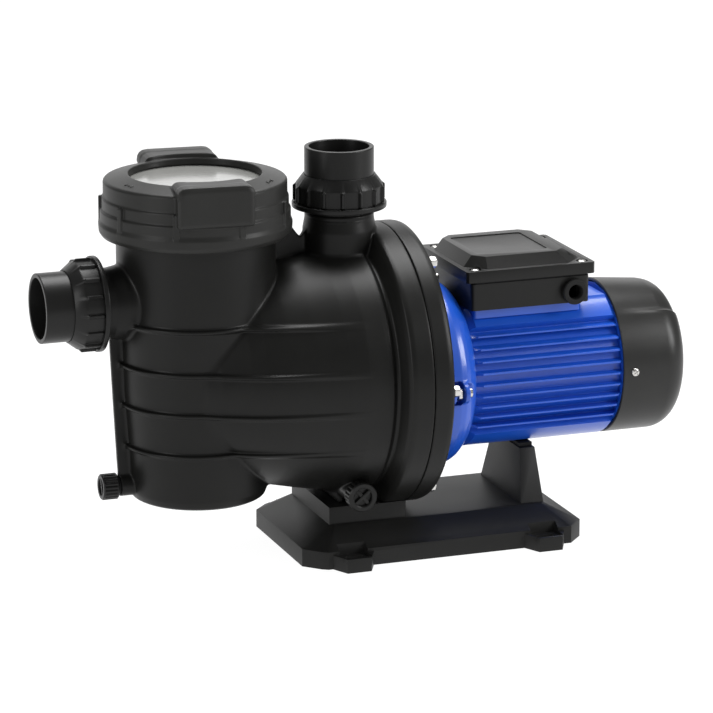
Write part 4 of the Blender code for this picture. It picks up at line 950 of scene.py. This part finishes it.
def fan_cover():
    mesh = revolve(cover_profile(), (0, 0, MOTOR_Z), "+X", STEPS, flat_top)
    slots = []
    for low, high, count, start in ((0.0100, 0.0225, 10, 0), (0.0255, 0.0430, 20, 9)):
        for k in range(count):
            shape = rounded_rectangle(low, high, -0.0014, 0.0014, 0.0013, 5)
            slot = prism(shape, 0.2850, 0.3050)
            spin = Matrix.Rotation(radians(start + 360 * k / count), 4, "Z")
            slot.transform(shift((0, 0, MOTOR_Z)) @ TURNS["+X"] @ spin)
            slots.append(slot)
    at = (COVER_SCREW_X, 0, MOTOR_Z)
    holes = [turned_rod(0.0024, 0.0600, 0.0700, at, axis, 24) for axis in ("-Y", "+Y")]
    return carve(mesh, less(merged(*slots), *holes), angle=30)


show("fan_cover", fan_cover())


def pan_head(at, axis, radius, height, shank, length, turn):
    """Cross-recessed pan head with its shank."""
    crown = [(0, height)] + [(radius * 0.96 * sin(t), height * (0.25 + 0.75 * cos(t)))
                             for t in [radians(9 * i) for i in range(1, 10)]]
    profile = crown + [(radius, height * 0.18), (radius, 0.0001), (radius - 0.0001, 0), (shank, 0),
                       (shank, -length + 0.0004), (shank - 0.0004, -length), (0, -length)]
    arm, wide = radius * 0.58, radius * 0.11
    low, high = height * 0.45, height * 2
    mesh = carve(revolve(profile, steps=48), less(boxes(((-arm, -wide, low), (arm, wide, high))),
                                                  boxes(((-wide, -arm, low), (wide, arm, high)))))
    mesh.transform(shift(at) @ TURNS[axis] @ Matrix.Rotation(turn, 4, "Z"))
    return mesh


for index, (axis, side) in enumerate((("-Y", -1), ("+Y", 1))):
    at = (COVER_SCREW_X, side * 0.0671, MOTOR_Z)
    show("cover_screw_%d" % (index + 1), pan_head(at, axis, 0.0036, 0.0021, 0.0015, 0.0066, 0.6))


# ---------------------------------------------------------------- terminal box
SCREW_INSET = 0.0052
SCREW_PLACES = [(x, y, 0) for x in (BOX_X[0] + SCREW_INSET, BOX_X[1] - SCREW_INSET)
                for y in (-BOX_Y + SCREW_INSET, BOX_Y - SCREW_INSET)]


def terminal_box():
    (x0, x1), (z0, z1) = BOX_X, BOX_Z
    wall = 0.003
    body = prism(rounded_rectangle(x0, x1, -BOX_Y, BOX_Y, 0.004), z0, z1)
    room = rounded_rectangle(x0 + wall, x1 - wall, -BOX_Y + wall, BOX_Y - wall, 0.002, 5)
    entry = (CABLE_ENTRY[0], 0, CABLE_ENTRY[1])
    steps = less(prism(room, z0 + wall, z1 + 0.01))
    steps += plus(*[turned_rod(0.0046, z0 + 0.001, z1 - 0.0002, at, steps=24) for at in SCREW_PLACES])
    steps += plus(turned_rod(0.0100, BOX_Y - 0.0020, BOX_Y + 0.0030, entry, "-Y"))
    steps += less(turned_rod(0.0080, BOX_Y - 0.0060, BOX_Y + 0.0100, entry, "-Y"),
                  turned_rod(0.0100, 0.1950, z0 + 0.0100, (WIRE_X, 0, 0), steps=32))
    steps += less(*[turned_rod(0.0018, z1 - 0.0150, z1 + 0.0050, at, steps=16) for at in SCREW_PLACES])
    return carve(body, steps)


show("terminal_box", terminal_box())
GROMMET = [(0.0102, BOX_Y + 0.0033, 0.0006), (0.0110, BOX_Y + 0.0046, 0.0012),
           (0.0104, BOX_Y + 0.0062, 0.0010), (0.0064, BOX_Y + 0.0062, 0.0008), (0.0060, BOX_Y - 0.0010, 0.0),
           (0.0076, BOX_Y - 0.0010, 0.0), (0.0076, BOX_Y + 0.0033, 0.0003)]
show("cable_gland", revolve(fillet(GROMMET, 0.0005), (CABLE_ENTRY[0], 0, CABLE_ENTRY[1]), "-Y", 96))


def terminal_lid():
    low, high, top = 0.2284, 0.2380, 0.2475
    x0, x1 = BOX_LID_X

    def level(inset, z, corner, extra=0.0):
        a, b, y = x0 + inset, x1 - inset - extra, BOX_LID_Y - inset
        near = [(a, -y + corner, z), (a + corner, -y, z), (b - corner, -y, z), (b, -y + corner, z)]
        return near + [(px, -py, pz) for px, py, pz in near[::-1]]

    lid = loft(level(0.0, low, 0.0020), level(0.0, high, 0.0020))
    crown = loft(level(0.0032, high - 0.002, 0.0170), level(0.0120, top, 0.0090, 0.010))
    edge = 0.0165
    under = boxes(((x0 + edge, -BOX_LID_Y + edge, 0.2200), (x1 - edge, BOX_LID_Y - edge, top - 0.0050)))
    panel = rounded_rectangle(x0 + 0.0180, x1 - 0.0340, -BOX_LID_Y + 0.0220, BOX_LID_Y - 0.0220, 0.004, 5)
    steps = plus(crown) + less(under, prism(panel, top - 0.0008, top + 0.005))
    for at in SCREW_PLACES:
        steps += less(turned_rod(0.0050, high - 0.0022, 0.2600, at, steps=32),
                      turned_rod(0.0026, 0.2200, 0.2600, at, steps=16))
    return carve(lid, steps, 0.0007)


show("terminal_lid", terminal_lid())
for index, (x, y, _) in enumerate(SCREW_PLACES):
    screw = pan_head((x, y, 0.2361), "+Z", 0.0040, 0.0026, 0.0015, 0.0216, 0.3 * index)
    show("terminal_screw_%d" % (index + 1), screw)


# ---------------------------------------------------------------- base
def base():
    x0, x1 = BASE_X
    front = [(x0, -0.0598), (-0.0418, -0.0733), (-0.0370, -BASE_Y), (0.1815, -BASE_Y), (x1, -0.0605)]
    outline = front + [(x, -y) for x, y in front[::-1]]
    px0, px1 = PLATEAU_X
    plateau = [(px0, -0.0480), (px0 + 0.0030, -0.0510), (px0 + 0.0035, -0.0510), (px1 - 0.0030, -0.0510),
               (px1, -0.0490)]
    plateau += [(x, -y) for x, y in plateau[::-1]]
    foot = loft([(x, y, 0.0) for x, y in outline], [(x, y, 0.0150) for x, y in outline])
    steps = plus(loft([(x, y, 0.0145) for x, y in outline], [(x, y, 0.0298) for x, y in plateau]))
    for side in (-1, 1):
        for cx in TAB_X:
            inner, outer = side * (BASE_Y - 0.004), side * 0.0918
            tab = [(cx - 0.0200, inner), (cx - 0.0105, outer), (cx + 0.0105, outer), (cx + 0.0200, inner)]
            steps += plus(prism(tab if side < 0 else tab[::-1], 0.0, 0.0120))
            low, high = sorted((side * 0.0690, side * 0.0880))
            slot = arc((0.0054, 0), 0.0031, -90, 90, 9) + arc((-0.0054, 0), 0.0031, 90, 270, 9)
            steps += less(boxes(((cx - 0.0125, low, 0.0095), (cx + 0.0125, high, 0.0400))),
                          prism(slot, -0.01, 0.03, shift((cx, side * 0.0785, 0))))
    saddle = boxes(((px0, -0.0480, 0.0278), (0.0420, 0.0480, SADDLE_Z)))
    saddle = carve(saddle, less(turned_rod(CASING_R + 0.0006, 0.0140, 0.0600, (0, 0, CASING_Z), "+X", 160)))
    pillar = loft([(0.1474, -0.0466, 0.0278), (0.1679, -0.0480, 0.0278), (0.1679, 0.0480, 0.0278),
                   (0.1474, 0.0466, 0.0278)],
                  [(0.1520, -0.0315, 0.0742), (0.1656, -0.0315, 0.0742), (0.1656, 0.0315, 0.0742),
                   (0.1520, 0.0315, 0.0742)])
    cells = [((0.0120 + 0.0640 * i, side * 0.0240 - 0.0190, -0.0020),
              (0.0650 + 0.0640 * i, side * 0.0240 + 0.0190, 0.0230)) for i in (0, 1) for side in (-1, 1)]
    steps += plus(saddle, pillar) + less(boxes(*cells))
    for side in (-1, 1):
        at = (FOOT_SCREW[0], side * FOOT_SCREW[1], 0)
        steps += less(turned_rod(0.0062, -0.0020, 0.0340, at, steps=32),
                      turned_rod(0.0026, 0.0300, 0.0500, at, steps=16))
    return carve(foot, steps, 0.0009)


show("base", base())

# ---------------------------------------------------------------- floor, light and camera
floor_mesh = bpy.data.meshes.new("floor")
bm = bmesh.new()
bmesh.ops.create_grid(bm, x_segments=1, y_segments=1, size=14.0)
bm.to_mesh(floor_mesh)
bm.free()
floor = placed("floor", floor_mesh)
floor.location = (0, 0, -0.0002)
paper = finish("floor_paper", (0.15, 0.15, 0.15), 0.80, grain=300, bump=0.0, mottle=0.004, specular=0.05)
glow = paper.node_tree.nodes["Principled BSDF"].inputs
glow["Emission Color"].default_value = (1.0, 1.0, 1.0, 1.0)
glow["Emission Strength"].default_value = 0.96
floor_mesh.materials.append(paper)

world = bpy.data.worlds.new("studio")
bpy.context.scene.world = world
world.use_nodes = True
sky = world.node_tree.nodes["Background"].inputs
sky["Color"].default_value = (1.0, 1.0, 1.0, 1.0)
sky["Strength"].default_value = 0.24
LAMP_TARGET = (0.0154, 0.0, 0.1597)


def area_light(name, at, size, power):
    lamp = bpy.data.lights.new(name, "AREA")
    lamp.shape = "RECTANGLE"
    lamp.size, lamp.size_y = size
    lamp.energy = power
    obj = placed(name, lamp)
    obj.location = at
    obj.rotation_euler = (Vector(LAMP_TARGET) - Vector(at)).to_track_quat("-Z", "Y").to_euler()


area_light("top_softbox", (0.25, 0.35, 1.50), (1.1, 0.8), 27)
area_light("left_softbox", (-1.45, -0.55, 0.75), (0.45, 1.0), 7)
area_light("right_softbox", (1.40, -1.05, 0.95), (0.5, 0.9), 20)
area_light("back_panel", (0.60, 3.40, 1.30), (4.5, 2.0), 28)

CAMERA_TARGET = (0.01544, 0.0, 0.15965)
AZIMUTH, ELEVATION, DISTANCE = radians(-20.04), radians(14.84), 3.337
back = Vector((sin(AZIMUTH) * cos(ELEVATION), -cos(AZIMUTH) * cos(ELEVATION),
               sin(ELEVATION)))
camera = placed("camera", bpy.data.cameras.new("camera"))
camera.data.sensor_width = 36.0
camera.data.lens = 200.05
camera.data.clip_start, camera.data.clip_end = 0.05, 60.0
camera.location = Vector(CAMERA_TARGET) + back * DISTANCE
camera.rotation_euler = (-back).to_track_quat("-Z", "Y").to_euler()
bpy.context.scene.camera = camera
bpy.context.scene.view_settings.view_transform = "Standard"
